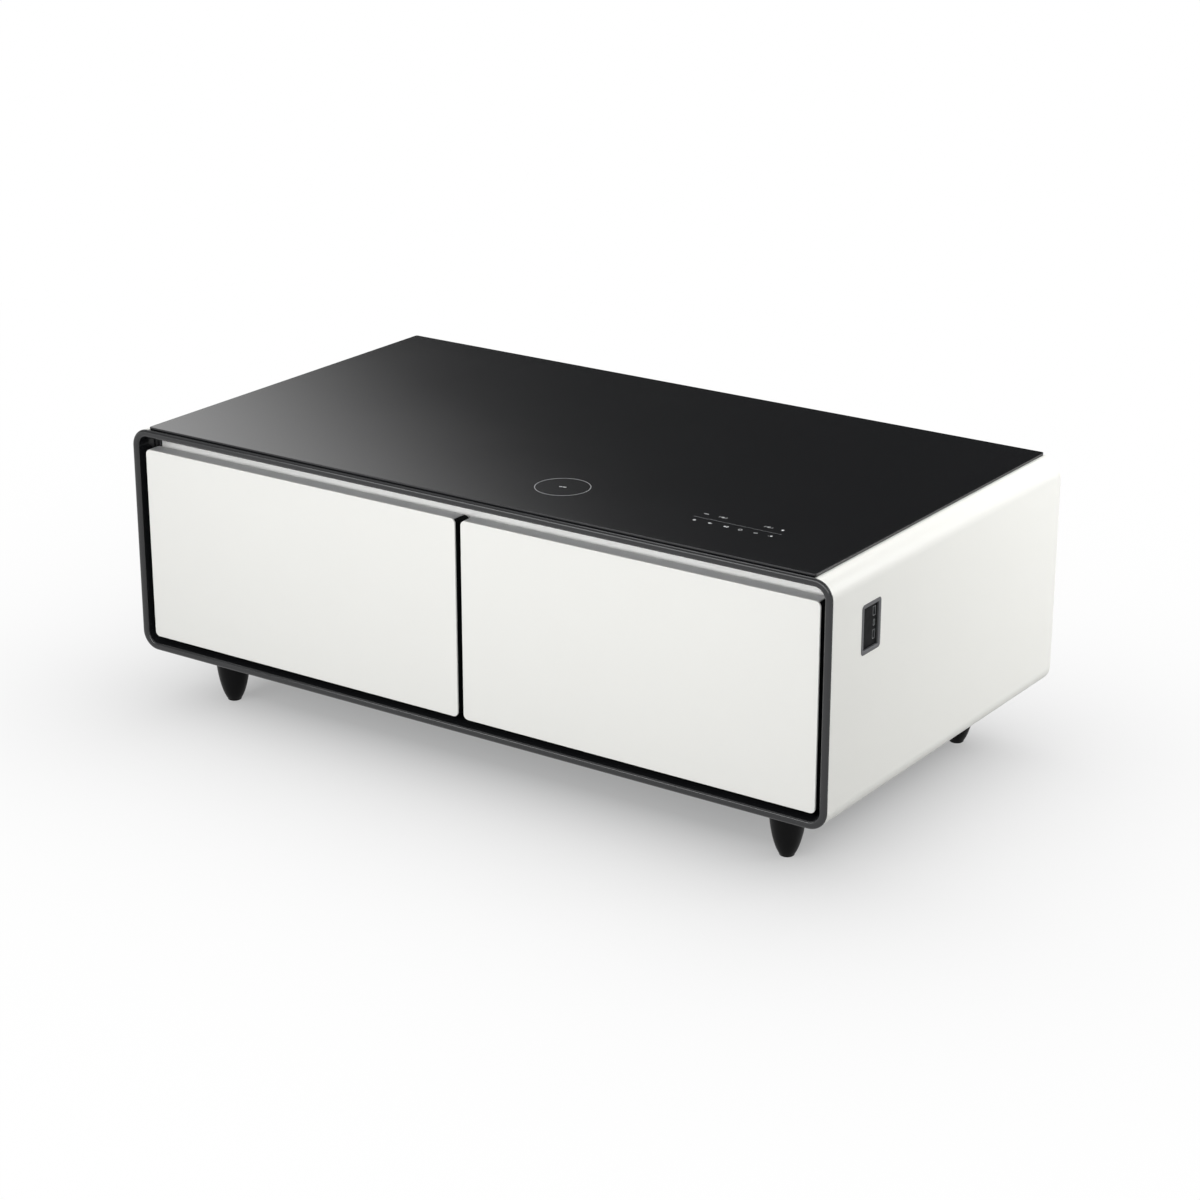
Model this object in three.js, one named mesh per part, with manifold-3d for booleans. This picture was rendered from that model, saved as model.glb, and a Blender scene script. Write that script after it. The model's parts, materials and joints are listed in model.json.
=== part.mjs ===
// A low coffee table whose body is a refrigerator with two sliding drawers. A black glass top with a
// wireless charging place and touch marks lies on a white steel body. The machine room with the
// compressor, condenser and fan runs along the back.
// Millimetres, +X to the right, +Y to the back, +Z up. The origin lies on the floor, under the middle
// of the body. Each piece is a closed solid, and a small gap parts it from what it rests on.

import * as THREE from 'three';
import { mergeVertices } from 'three/addons/utils/BufferGeometryUtils.js';
import Module from 'manifold-3d';

const wasm = await Module();
wasm.setup();

// Whole table
const tableWidth = 1300;
const tableDepth = 700;
const legHeight = 96;
const caseHeight = 376;
const caseRadius = 30;

// Clearances
const seatGap = 0.3;
const slideGap = 0.6;
const cutOverrun = 5;
const fuseDepth = 0.5;
const weldDistance = 0.001;

// Front frame: a convex bead, a skirt behind it and a landing that the drawer gaskets close on
const beadWidth = 12;
const beadDepth = 4.5;
const beadRoundWidth = 5;
const beadRoundDepth = 3.8;
const frameSeam = 1.2;
const skirtWall = 2.5;
const landingThickness = 2.6;
const frameRibThickness = 2;
const frameRibCount = 4;

// Body panels: bent steel sheet with round long edges
const panelInset = 0.8;
const panelWall = 1.6;
const panelTopFlange = 36;
const panelBottomFlange = 40;
const flangeNotch = 1.5;

// Glass top and the deck below it
const glassSideInset = 31.1;
const glassFrontInset = 8;
const glassThickness = 4.5;
const glassCornerRadius = 4;
const glassChamfer = 0.8;
const groovesWidth = 9;
const groovesDepth = 4;

// Charging module under the ring, touch board under the marks
const chargerFromRight = 544;
const chargerFromFront = 130;
const chargerRadius = 46;
const chargerThickness = 6.4;
const coilInnerRadius = 20;
const coilOuterRadius = 40;
const coilRecess = 1.2;
const touchBoardFromRight = 232;
const touchBoardFromFront = 128;
const touchBoardWidth = 184;
const touchBoardDepth = 52;
const boardThickness = 1.6;
const touchPartHeight = 2.4;
const touchChipSize = 12;
const touchKeyCount = 6;

// Drawer heads: what shows of a drawer when it is shut
const headRecess = 7.4;
const headDepth = 38;
const headGap = 10;
const headCentreGap = 10.6;
const headTopGap = 22.5;
const headRadius = 8.5;
const facePlate = 3;
const facePlateRound = 0.9;
const coreInset = 0.6;
const coreCheek = 3.4;
const coreBottomRound = 4;
const handleRound = 14;
const handleHeight = 17;
const handleWall = 2.2;

// Gaskets
const gasketInset = 9;
const gasketWidth = 17;
const gasketDepth = 6.4;
const gasketWaist = 4;
const gasketLipDepth = 2.1;

// Compartments and their liners
const landingLap = 2.35;
const openingRadius = 14;
const linerWall = 1.5;
const linerFlange = 8;
const linerRound = 10;

// Aluminium strip behind the finger channel, and its end pieces
const stripClearance = 2.4;
const stripWall = 1.4;
const stripLap = 2.7;
const cheekSize = 8.3;

// Rear wall, machine room and cover
const rearInset = 3;
const coverThickness = 1.2;
const coverRim = 7;
const coverRimWall = 1.2;
const machineRoomDepth = 176;
const rearInsulation = 52;
const ventLength = 74;
const ventHeight = 6;
const ventPitch = 20;
const ventRows = 6;
const ventColumns = 2;
const ventColumnGap = 12;
const ventRise = 46;

// Base pan
const panThickness = 1.2;
const floorSlotLength = 90;
const floorSlotWidth = 6;
const floorSlotPitch = 15;
const floorSlotCount = 6;

// Legs and their plates
const legInsetX = 114.8;
const legInsetY = 89.3;
const legTopRadius = 29;
const legFootRadius = 9.5;
const legStudRadius = 4;
const legPlateSize = 68;
const legPlateRadius = 12;
const legPlateThickness = 2.8;
const legPlateHoleInset = 10;
const screwHoleRadius = 2.4;

// Bins
const binClearBelow = 6;
const binClearAbove = 8;
const binClearFront = 3;
const binWall = 2.5;
const binDraft = 2.5;
const binRadius = 20;
const binRim = 4;
const binRimThickness = 3;
const binRibCount = 5;
const binRibWidth = 3;
const binRibHeight = 2;

// Telescopic slides
const slideHeight = 45;
const slideThickness = 12.7;
const slideWall = 1.2;
const slideDrop = 82;
const slideFrontInset = 7;
const slideRearInset = 14;
const shelfWidth = 12;
const bracketThickness = 2;
const bracketWidth = 21;

// Evaporator plates
const evaporatorMargin = 60;
const evaporatorThickness = 1.5;
const evaporatorTube = 5;
const evaporatorRuns = 5;

// Compressor
const canRadius = 57;
const canStretchShare = 1.22;
const canHeight = 142;
const canFlange = 4;
const canFlangeHeight = 5;
const canFootLift = 12;
const footPlateThickness = 3;
const footPlateOverhang = 24;
const grommetRadius = 9;
const stubRadius = 5;
const stubLength = 16;
const stubSpread = 34;
const terminalWidth = 44;
const terminalHeight = 42;
const terminalDepth = 20;

// Condenser
const condenserThickness = 44;
const condenserWidth = 112;
const condenserHeight = 204;
const finCount = 9;
const finThickness = 2.4;
const tubeRows = 4;
const tubeRadius = 4.6;
const condenserStartShare = 0.04;

// Fan and its shroud
const fanRadius = 58;
const fanDuctGap = 2.5;
const shroudSize = 136;
const shroudDepth = 34;
const shroudWall = 3;
const shroudCornerRadius = 10;
const hubRadius = 19;
const hubLength = 22;
const motorRadius = 17;
const bladeCount = 7;
const bladeThickness = 1.6;
const bladeRootChord = 17;
const bladeTipChord = 34;
const strutWidth = 7;
const strutDepth = 5;
const airGap = 14;
const compressorGap = 40;

// Drip tray
const trayWall = 1.8;
const trayHeight = 24;
const trayWidth = 128;
const trayDepth = 104;
const trayRadius = 12;

// Refrigerant lines
const lineRadius = 3.4;
const lineRise = 42;
const linePortLift = 30;
const dischargeSteps = 20;
const suctionSteps = 14;

// Power supply and control board
const supplyWidth = 132;
const supplyDepth = 62;
const supplyHeight = 44;
const supplyWall = 2;
const supplySlotCount = 7;
const supplyStartShare = 0.74;
const boardWidth = 150;
const boardDepth = 96;
const boardPostHeight = 9;
const boardPostRadius = 3.5;
const boardPostInset = 7;
const boardGap = 40;
const relaySize = 18;
const capacitorRadius = 8;
const capacitorHeight = 24;

// Mains inlet
const inletWidth = 30;
const inletHeight = 24;
const inletDepth = 26;
const inletFlange = 10;
const inletFlangeThickness = 2.6;
const inletRecessWidth = 24.4;
const inletRecessHeight = 16.6;
const inletRecessDepth = 17;
const inletCornerCut = 4.5;
const inletPinWidth = 2;
const inletPinHeight = 4;
const inletPinLength = 11;
const inletPinPitch = 7;
const inletPinDrop = 2;
const inletStartShare = 0.86;
const inletRise = 62;

// Socket plate on the right side
const socketFromFront = 113.8;
const socketFromTop = 98;
const socketWidth = 53.5;
const socketHeight = 76;
const socketRadius = 6;
const socketBezel = 6.4;
const socketProud = 0.7;
const socketChamfer = 2.2;
const socketLip = 3;
const socketRecess = 2.6;
const insertDepth = 22;
const insertWall = 2.5;
const portWidth = 7;
const portHeight = 13.5;
const portDepth = 10;
const portWall = 1;
const tongueThickness = 1.8;
const tongueSetback = 2;
const smallPortWidth = 4.4;
const smallPortHeight = 9.4;
const portPitch = 17.5;
const portRise = 1.9;
const portSetBack = 12;

// Facets
const cornerSteps = 3;
const beadRoundSteps = 3;
const fineSteps = 2;
const coarseSteps = 2;
const roundSteps = 16;
const legSteps = 18;
const legRings = 5;
const tubeSides = 8;
const boltSides = 6;
const studHoleSides = 10;

// Heights and depths that the pieces share, worked out from the values above
const halfWidth = tableWidth / 2;
const frontY = -tableDepth / 2;
const backY = tableDepth / 2;
const caseBottom = legHeight;
const caseTop = legHeight + caseHeight;
const beadBackY = frontY + beadDepth;
const panelFrontY = beadBackY + frameSeam;
const panelX = halfWidth - panelInset;
const panelTop = caseTop - panelInset;
const panelBottom = caseBottom + panelInset;
const panelRadius = caseRadius - panelInset;
const flangeTopX = panelX - panelRadius - panelTopFlange;
const flangeBottomX = panelX - panelRadius - panelBottomFlange;
const innerInset = panelInset + panelWall + seatGap;
const skirtInset = beadWidth - skirtWall;
const headFrontY = frontY + headRecess;
const coreFrontY = headFrontY + facePlate + seatGap;
const headBackY = headFrontY + headDepth;
const gasketFrontY = headBackY + seatGap;
const gasketBackY = gasketFrontY + gasketDepth;
const landingFrontY = gasketBackY + seatGap;
const landingBackY = landingFrontY + landingThickness;
const linerFrontY = landingBackY + seatGap;
const blockFrontY = linerFrontY + linerWall + seatGap;
const coverBackY = backY - rearInset;
const coverFrontY = coverBackY - coverThickness;
const roomBackY = coverFrontY - coverRim - seatGap;
const blockBackY = coverFrontY - machineRoomDepth;
const compartmentBackY = blockBackY - rearInsulation;
const headWidth = (tableWidth - 2 * beadWidth - 2 * headGap - headCentreGap) / 2;
const headX = (headCentreGap + headWidth) / 2;
const headBottom = caseBottom + beadWidth + headGap;
const headTop = caseTop - beadWidth - headTopGap;
const gasketHalfWidth = headWidth / 2 - gasketInset;
const openingHalfWidth = gasketHalfWidth - gasketWidth - landingLap;
const openingBottom = headBottom + gasketInset + gasketWidth + landingLap;
const openingTop = headTop - coreInset - handleHeight - gasketWidth - landingLap - 2 * landingLap;
const gasketBottom = headBottom + gasketInset;
const gasketTop = openingTop + landingLap + gasketWidth;
const panBottom = panelBottom + panelWall + seatGap;
const panFloor = panBottom + panThickness;
const panHalfWidth = panelX - panelRadius;
const skirtBottom = caseBottom + skirtInset;
const skirtTop = caseTop - skirtInset;
const deckBottom = skirtTop + seatGap;
const deckShoulder = panelTop - panelWall - seatGap;
const deckTop = panelTop;
const deckHalfWidth = flangeTopX - seatGap;
const glassBottom = deckTop + seatGap;
const glassHalfWidth = halfWidth - glassSideInset;
const stripFrontY = headBackY + stripClearance;
const stripBackY = landingFrontY - seatGap;
const stripBottom = gasketTop + stripLap;
const slideZ = openingBottom + slideHeight / 2 + (openingTop - openingBottom - slideHeight - slideDrop) / 4;
const slideFrontY = landingBackY + slideFrontInset;
const slideBackY = compartmentBackY - slideRearInset;
const machineFloor = panFloor + seatGap;
const machineRoomY = (blockBackY + roomBackY) / 2;
const chargerX = halfWidth - chargerFromRight;
const chargerY = frontY + chargerFromFront;
const touchBoardX = halfWidth - touchBoardFromRight;
const touchBoardY = frontY + touchBoardFromFront;
const socketY = frontY + socketFromFront;
const socketZ = caseTop - socketFromTop;

// Solids: a three.js geometry welded into one closed body, and back again
function solidFrom(geometry) {
  const bare = geometry.index ? geometry.toNonIndexed() : geometry.clone();
  bare.deleteAttribute('normal');
  bare.deleteAttribute('uv');
  const welded = mergeVertices(bare, weldDistance);
  const corners = welded.index.array;
  const kept = [];
  for (let i = 0; i < corners.length; i += 3) {
    const [a, b, c] = [corners[i], corners[i + 1], corners[i + 2]];
    if (a !== b && b !== c && c !== a) kept.push(a, b, c);
  }
  return new wasm.Manifold(new wasm.Mesh({
    numProp: 3,
    vertProperties: welded.attributes.position.array,
    triVerts: new Uint32Array(kept),
  }));
}

function join(first, ...others) {
  return others.reduce((whole, piece) => whole.add(piece), first);
}

function cut(first, ...others) {
  return others.reduce((rest, piece) => rest.subtract(piece), first);
}

function pieceOf(name, solid, material) {
  const { vertProperties, triVerts } = solid.getMesh();
  const indexed = new THREE.BufferGeometry();
  indexed.setAttribute('position', new THREE.BufferAttribute(vertProperties, 3));
  indexed.setIndex(new THREE.BufferAttribute(triVerts, 1));
  const geometry = indexed.toNonIndexed();
  geometry.computeVertexNormals();
  const mesh = new THREE.Mesh(geometry, material());
  mesh.name = name;
  return mesh;
}

// Profiles run along an axis. A profile along Y is drawn in X and Z, one along X in Y and Z
const drawnInXZ = new THREE.Matrix4().set(1, 0, 0, 0, 0, 0, -1, 0, 0, 1, 0, 0, 0, 0, 0, 1);
const drawnInYZ = new THREE.Matrix4().set(0, 0, 1, 0, 1, 0, 0, 0, 0, 1, 0, 0, 0, 0, 0, 1);

function extruded(shape, depth, steps, rounding) {
  const settings = { depth, bevelEnabled: false, curveSegments: steps };
  if (!rounding) return new THREE.ExtrudeGeometry(shape, settings);
  return new THREE.ExtrudeGeometry(shape, {
    depth: depth - 2 * rounding.depth,
    curveSegments: steps,
    bevelEnabled: true,
    bevelThickness: rounding.depth,
    bevelSize: rounding.width,
    bevelOffset: -rounding.width,
    bevelSegments: rounding.steps,
  }).translate(0, 0, rounding.depth);
}

function alongY(shape, yFront, yBack, steps = cornerSteps, rounding = null) {
  const geometry = extruded(shape, yBack - yFront, steps, rounding);
  return solidFrom(geometry.applyMatrix4(drawnInXZ).translate(0, yBack, 0));
}

function alongX(shape, xLeft, xRight, steps = cornerSteps, rounding = null) {
  const geometry = extruded(shape, xRight - xLeft, steps, rounding);
  return solidFrom(geometry.applyMatrix4(drawnInYZ).translate(xLeft, 0, 0));
}

function alongZ(shape, zLow, zHigh, steps = cornerSteps, rounding = null) {
  return solidFrom(extruded(shape, zHigh - zLow, steps, rounding).translate(0, 0, zLow));
}

function box(x0, x1, y0, y1, z0, z1) {
  const geometry = new THREE.BoxGeometry(x1 - x0, y1 - y0, z1 - z0);
  return solidFrom(geometry.translate((x0 + x1) / 2, (y0 + y1) / 2, (z0 + z1) / 2));
}

// A round bar between two heights, and the same lying along X or Y
function post(x, y, radius, zLow, zHigh, steps = roundSteps) {
  const geometry = new THREE.CylinderGeometry(radius, radius, zHigh - zLow, steps);
  return solidFrom(geometry.rotateX(Math.PI / 2).translate(x, y, (zLow + zHigh) / 2));
}

function barAlongX(xLeft, xRight, y, z, radius, steps = roundSteps) {
  const geometry = new THREE.CylinderGeometry(radius, radius, xRight - xLeft, steps);
  return solidFrom(geometry.rotateZ(Math.PI / 2).translate((xLeft + xRight) / 2, y, z));
}

function polygon(points) {
  return new THREE.Shape(points.map(([x, y]) => new THREE.Vector2(x, y)));
}

// A rectangle with round corners, anticlockwise from its lower left corner
function roundedRectangle(x0, y0, x1, y1, radius) {
  const shape = new THREE.Shape();
  shape.moveTo(x0 + radius, y0);
  shape.lineTo(x1 - radius, y0);
  shape.absarc(x1 - radius, y0 + radius, radius, -Math.PI / 2, 0, false);
  shape.lineTo(x1, y1 - radius);
  shape.absarc(x1 - radius, y1 - radius, radius, 0, Math.PI / 2, false);
  shape.lineTo(x0 + radius, y1);
  shape.absarc(x0 + radius, y1 - radius, radius, Math.PI / 2, Math.PI, false);
  shape.lineTo(x0, y0 + radius);
  shape.absarc(x0 + radius, y0 + radius, radius, Math.PI, Math.PI * 1.5, false);
  return shape;
}

function withHole(shape, hole) {
  shape.holes.push(hole);
  return shape;
}

// The outline of the case seen from the front, set in by an even margin
function caseOutline(inset) {
  const x = halfWidth - inset;
  return roundedRectangle(-x, caseBottom + inset, x, caseTop - inset, caseRadius - inset);
}

// A skin over rings of points that have the same count, closed at its first and last ring
function skinned(rings) {
  const count = rings[0].length;
  const positions = [];
  const quad = (a, b, c, d) => positions.push(...a, ...b, ...c, ...a, ...c, ...d);
  rings.slice(1).forEach((upper, index) => {
    const lower = rings[index];
    for (let i = 0; i < count; i += 1) {
      const next = (i + 1) % count;
      quad(lower[i], lower[next], upper[next], upper[i]);
    }
  });
  const last = rings[rings.length - 1];
  for (let i = 1; i < count - 1; i += 1) {
    positions.push(...rings[0][0], ...rings[0][i + 1], ...rings[0][i]);
    positions.push(...last[0], ...last[i], ...last[i + 1]);
  }
  const geometry = new THREE.BufferGeometry();
  geometry.setAttribute('position', new THREE.Float32BufferAttribute(positions, 3));
  return solidFrom(geometry);
}

// Rounded rectangles stacked in height, each with its own width, depth and corner radius
function lofted(levels, steps = cornerSteps) {
  return skinned(levels.map(({ z, x, y0, y1, radius }) => {
    const centres = [[x, y0 + radius], [x, y1 - radius], [-x, y1 - radius], [-x, y0 + radius]];
    return centres.flatMap(([edgeX, centreY], corner) => {
      const centreX = edgeX - Math.sign(edgeX) * radius;
      return Array.from({ length: steps + 1 }, (_, i) => {
        const angle = (corner - 1 + i / steps) * Math.PI / 2;
        return [centreX + radius * Math.cos(angle), centreY + radius * Math.sin(angle), z];
      });
    });
  }));
}

// A round tube along a smooth route of points
function tubeAlong(points, radius, steps, tension) {
  const route = new THREE.CatmullRomCurve3(points.map((p) => new THREE.Vector3(...p)), false, 'catmullrom', tension);
  const section = new THREE.Shape();
  section.absarc(0, 0, radius, 0, Math.PI * 2, false);
  const settings = { steps, curveSegments: tubeSides / 2, extrudePath: route, bevelEnabled: false };
  return solidFrom(new THREE.ExtrudeGeometry(section, settings));
}

// Finishes
const finish = (color, roughness, metalness) => () => (
  new THREE.MeshStandardMaterial({ color, roughness, metalness })
);
const whitePaint = finish(0xeceeea, 0.35, 0);
const whiteFace = finish(0xf3f3f1, 0.25, 0);
const blackGlass = finish(0x17181a, 0.08, 0);
const blackPlastic = finish(0x1d1e20, 0.45, 0);
const blackLeg = finish(0x151517, 0.4, 0);
const brushedAluminium = finish(0xc9cbcc, 0.35, 0.9);
const greyAluminium = finish(0x8f9193, 0.4, 0.9);
const steel = finish(0xb9bcbf, 0.4, 0.9);
const galvanised = finish(0x9a9ea1, 0.5, 0.8);
const foam = finish(0xe6ddb8, 0.9, 0);
const linerPlastic = finish(0xf0f1f0, 0.4, 0);
const clearPlastic = finish(0xdfe8ea, 0.2, 0);
const rubber = finish(0x8d8f90, 0.8, 0);
const deckBoard = finish(0x2b2c2e, 0.7, 0);
const blackEnamel = finish(0x101112, 0.3, 0.2);
const copper = finish(0xb87048, 0.35, 0.9);
const greenBoard = finish(0x1f5a3a, 0.6, 0);
const greyBezel = finish(0x9b9da0, 0.35, 0.6);

// White body panel on the right: a sheet bent round at the top and bottom, with flanges inwards
function bodyPanel() {
  const centreX = panelX - panelRadius;
  const upperZ = panelTop - panelRadius;
  const lowerZ = panelBottom + panelRadius;
  const innerRadius = panelRadius - panelWall;
  const shape = new THREE.Shape();
  shape.moveTo(flangeBottomX, panelBottom);
  shape.lineTo(centreX, panelBottom);
  shape.absarc(centreX, lowerZ, panelRadius, -Math.PI / 2, 0, false);
  shape.lineTo(panelX, upperZ);
  shape.absarc(centreX, upperZ, panelRadius, 0, Math.PI / 2, false);
  shape.lineTo(flangeTopX, panelTop);
  shape.lineTo(flangeTopX, panelTop - panelWall);
  shape.lineTo(centreX, panelTop - panelWall);
  shape.absarc(centreX, upperZ, innerRadius, Math.PI / 2, 0, true);
  shape.lineTo(panelX - panelWall, lowerZ);
  shape.absarc(centreX, lowerZ, innerRadius, 0, -Math.PI / 2, true);
  shape.lineTo(flangeBottomX, panelBottom + panelWall);
  const notch = box(
    flangeTopX - cutOverrun, centreX - fuseDepth, 0 - backY, frontY + glassFrontInset + flangeNotch,
    panelTop - panelWall - cutOverrun, panelTop + cutOverrun,
  );
  return cut(alongY(shape, panelFrontY, backY), notch);
}

// The outline of the socket plate seen from the right, grown or shrunk by a margin
function socketOutline(inset) {
  const y = socketWidth / 2 - inset;
  const z = socketHeight / 2 - inset;
  const radius = Math.max(socketRadius - inset, fuseDepth);
  return roundedRectangle(socketY - y, socketZ - z, socketY + y, socketZ + z, radius);
}

// Front frame: the bead in front, the skirt round the heads, the landing with its two openings
function frontFrame() {
  const rounding = { width: beadRoundWidth, depth: beadRoundDepth, steps: beadRoundSteps };
  const beadShape = withHole(caseOutline(0), caseOutline(beadWidth));
  const twice = alongY(beadShape, frontY, beadBackY + beadDepth + cutOverrun, cornerSteps, rounding);
  const behind = box(-tableWidth, tableWidth, beadBackY, backY, 0, caseTop + cutOverrun);
  const bead = cut(twice, behind);
  const skirtShape = withHole(caseOutline(skirtInset), caseOutline(beadWidth));
  const skirt = alongY(skirtShape, beadBackY - fuseDepth, landingBackY);
  const plate = alongY(caseOutline(innerInset), landingFrontY, landingBackY);
  const between = box(-tableWidth, tableWidth, frontY, backY, skirtBottom, skirtTop);
  const landing = cut(plate.intersect(between), ...sides((x) => compartment(x, 0, frontY, backY)));
  const ribs = [];
  const ribSpan = (skirtTop - skirtBottom - 2 * caseRadius) / (frameRibCount - 1);
  for (let i = 0; i < frameRibCount; i += 1) {
    const z = skirtBottom + caseRadius + i * ribSpan;
    const low = z - frameRibThickness / 2;
    const inner = halfWidth - skirtInset - fuseDepth;
    const outer = halfWidth - innerInset;
    const front = panelFrontY - frameSeam - fuseDepth;
    ribs.push(box(inner, outer, front, landingBackY, low, low + frameRibThickness));
    ribs.push(box(-outer, -inner, front, landingBackY, low, low + frameRibThickness));
  }
  return join(bead, skirt, landing, ...ribs);
}

function sides(make) {
  return [make(-headX), make(headX)];
}

// The outline of a compartment, grown by a margin, run between two depths
function compartment(x, margin, yFront, yBack, rounding = null) {
  const half = openingHalfWidth + margin;
  const low = openingBottom - margin;
  const high = openingTop + margin;
  const radius = openingRadius + margin;
  return alongY(roundedRectangle(x - half, low, x + half, high, radius), yFront, yBack, coarseSteps, rounding);
}

// Aluminium strip: a flat face with three legs that stand on the landing
function channelStrip() {
  const top = caseTop - beadWidth - seatGap;
  const end = halfWidth - beadWidth - cheekSize - seatGap;
  const web = stripFrontY + stripWall;
  const middle = (stripBottom + top - stripWall) / 2;
  const profile = polygon([
    [stripFrontY, stripBottom], [stripBackY, stripBottom], [stripBackY, stripBottom + stripWall],
    [web, stripBottom + stripWall], [web, middle], [stripBackY, middle],
    [stripBackY, middle + stripWall], [web, middle + stripWall], [web, top - stripWall],
    [stripBackY, top - stripWall], [stripBackY, top], [stripFrontY, top],
  ]);
  return alongX(profile, -end, end).intersect(frameInside());
}

// The space inside the front frame's skirt
function frameInside() {
  return alongY(caseOutline(beadWidth + seatGap), frontY, stripBackY);
}

// Moulded end piece of the channel: a hollow fillet from the skirt to the strip
function channelCheek() {
  const outer = halfWidth - beadWidth - seatGap;
  const inner = outer - cheekSize + seatGap;
  const radius = outer - inner;
  const shape = new THREE.Shape();
  shape.moveTo(inner, stripBackY);
  shape.lineTo(inner, stripFrontY);
  shape.absarc(inner, stripFrontY - radius, radius, Math.PI / 2, 0, true);
  shape.lineTo(outer, stripBackY);
  const top = caseTop - beadWidth - seatGap;
  return alongZ(shape, stripBottom, top).intersect(frameInside());
}

// Deck under the glass: shoulders under the panel flanges, pockets and cable grooves on top
function topDeck() {
  const shoulderX = panelX - panelRadius;
  const section = polygon([
    [-shoulderX, deckBottom], [shoulderX, deckBottom], [shoulderX, deckShoulder],
    [deckHalfWidth, deckShoulder], [deckHalfWidth, deckTop], [-deckHalfWidth, deckTop],
    [-deckHalfWidth, deckShoulder], [-shoulderX, deckShoulder],
  ]);
  const lipBottom = caseTop - innerInset + seatGap;
  const lip = box(-deckHalfWidth, deckHalfWidth, machineRoomY, coverBackY, lipBottom, deckTop);
  const board = join(alongY(section, beadBackY + seatGap, roomBackY), lip);
  const over = deckTop + cutOverrun;
  const chargerFloor = deckTop - chargerThickness - seatGap;
  const chargerPocket = post(chargerX, chargerY, chargerRadius + seatGap, chargerFloor, over, legSteps);
  const touchFloor = deckTop - boardThickness - touchPartHeight - seatGap;
  const x0 = touchBoardX - touchBoardWidth / 2 - seatGap;
  const x1 = touchBoardX + touchBoardWidth / 2 + seatGap;
  const y0 = touchBoardY - touchBoardDepth / 2 - seatGap;
  const y1 = touchBoardY + touchBoardDepth / 2 + seatGap;
  const touchPocket = box(x0, x1, y0, y1, touchFloor, over);
  const grooveFloor = deckTop - groovesDepth;
  const grooves = [chargerX, touchBoardX].map((x) => (
    box(x - groovesWidth / 2, x + groovesWidth / 2, chargerY, machineRoomY, grooveFloor, over)
  ));
  const holes = [chargerX, touchBoardX].map((x) => (
    box(x - groovesWidth / 2, x + groovesWidth / 2, machineRoomY - groovesWidth, machineRoomY, 0, over)
  ));
  return cut(board, chargerPocket, touchPocket, ...grooves, ...holes);
}

// Tempered glass with polished, chamfered edges
function glassTop() {
  const y0 = frontY + glassFrontInset;
  const shape = roundedRectangle(-glassHalfWidth, y0, glassHalfWidth, backY, glassCornerRadius);
  const rounding = { width: glassChamfer, depth: glassChamfer, steps: 1 };
  return alongZ(shape, glassBottom, glassBottom + glassThickness, fineSteps, rounding);
}

// Base pan: a shallow tray with upturned edges and air slots below the condenser
function basePan() {
  const y0 = beadBackY + seatGap;
  const outside = box(-panHalfWidth, panHalfWidth, y0, roomBackY, panBottom, skirtBottom - seatGap);
  const inX = panHalfWidth - panThickness;
  const inside = box(-inX, inX, y0 + panThickness, roomBackY - panThickness, panFloor, caseTop);
  const slots = [];
  for (let i = 0; i < floorSlotCount; i += 1) {
    const x = condenserX0() - airGap - i * floorSlotPitch;
    const half = floorSlotLength / 2;
    slots.push(box(x - floorSlotWidth, x, machineRoomY - half, machineRoomY + half, 0, caseTop));
  }
  return cut(outside, inside, ...slots);
}

// Rear cover: a tray with a rim, two fields of air slots and the inlet's cut-out
function rearCover() {
  const plate = alongY(caseOutline(innerInset), coverFrontY, coverBackY);
  const rimShape = withHole(caseOutline(innerInset), caseOutline(innerInset + coverRimWall));
  const rim = alongY(rimShape, coverFrontY - coverRim, coverFrontY + fuseDepth);
  const fieldWidth = ventColumns * ventLength + (ventColumns - 1) * ventColumnGap;
  const intake = ventField(condenserX0() - airGap - fieldWidth);
  const exhaust = ventField(compressorX() - fieldWidth / 2);
  const { x, z } = inletPlace();
  const halfX = inletWidth / 2 + seatGap;
  const halfZ = inletHeight / 2 + seatGap;
  const opening = box(x - halfX, x + halfX, 0, backY, z - halfZ, z + halfZ);
  return cut(join(plate, rim), ...intake, ...exhaust, opening);
}

function ventField(xStart) {
  const slots = [];
  for (let column = 0; column < ventColumns; column += 1) {
    const x = xStart + column * (ventLength + ventColumnGap);
    for (let row = 0; row < ventRows; row += 1) {
      const z = caseBottom + ventRise + row * ventPitch;
      slots.push(box(x, x + ventLength, coverFrontY - cutOverrun, backY, z, z + ventHeight));
    }
  }
  return slots;
}

function inletPlace() {
  return { x: -halfWidth * inletStartShare, z: caseBottom + inletRise };
}

// Foam insulation between the liners and the body, stepped for the machine room behind it
function insulationBlock() {
  const outline = alongY(caseOutline(innerInset), blockFrontY, blockBackY);
  const between = box(-tableWidth, tableWidth, frontY, backY, skirtBottom, skirtTop);
  const lowX = panHalfWidth - panThickness - seatGap;
  const lower = box(-lowX, lowX, blockFrontY, blockBackY, machineFloor, skirtBottom + fuseDepth);
  const body = join(outline.intersect(between), lower);
  const rounding = { width: linerRound + linerWall, depth: linerRound + linerWall, steps: coarseSteps };
  const front = frontY - cutOverrun;
  const back = compartmentBackY + linerWall + seatGap;
  const pockets = sides((x) => compartment(x, linerWall + seatGap, front, back, rounding));
  const plates = sides((x) => evaporatorPocket(x));
  const depth = halfWidth - insertDepth - innerInset - seatGap;
  const socket = alongX(socketOutline(socketBezel - socketLip - seatGap), depth, halfWidth);
  return cut(body, ...pockets, ...plates, socket);
}

function evaporatorPlace(x, margin) {
  const { front, back } = evaporatorDepths();
  const half = openingHalfWidth - evaporatorMargin + margin;
  const low = openingBottom + evaporatorMargin - margin;
  const high = openingTop - evaporatorMargin / 2 + margin;
  return { x0: x - half, x1: x + half, y0: front, y1: back, z0: low, z1: high };
}

function evaporatorDepths() {
  const front = compartmentBackY + linerWall + seatGap;
  return { front, back: front + evaporatorThickness + evaporatorTube / 2 };
}

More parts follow.
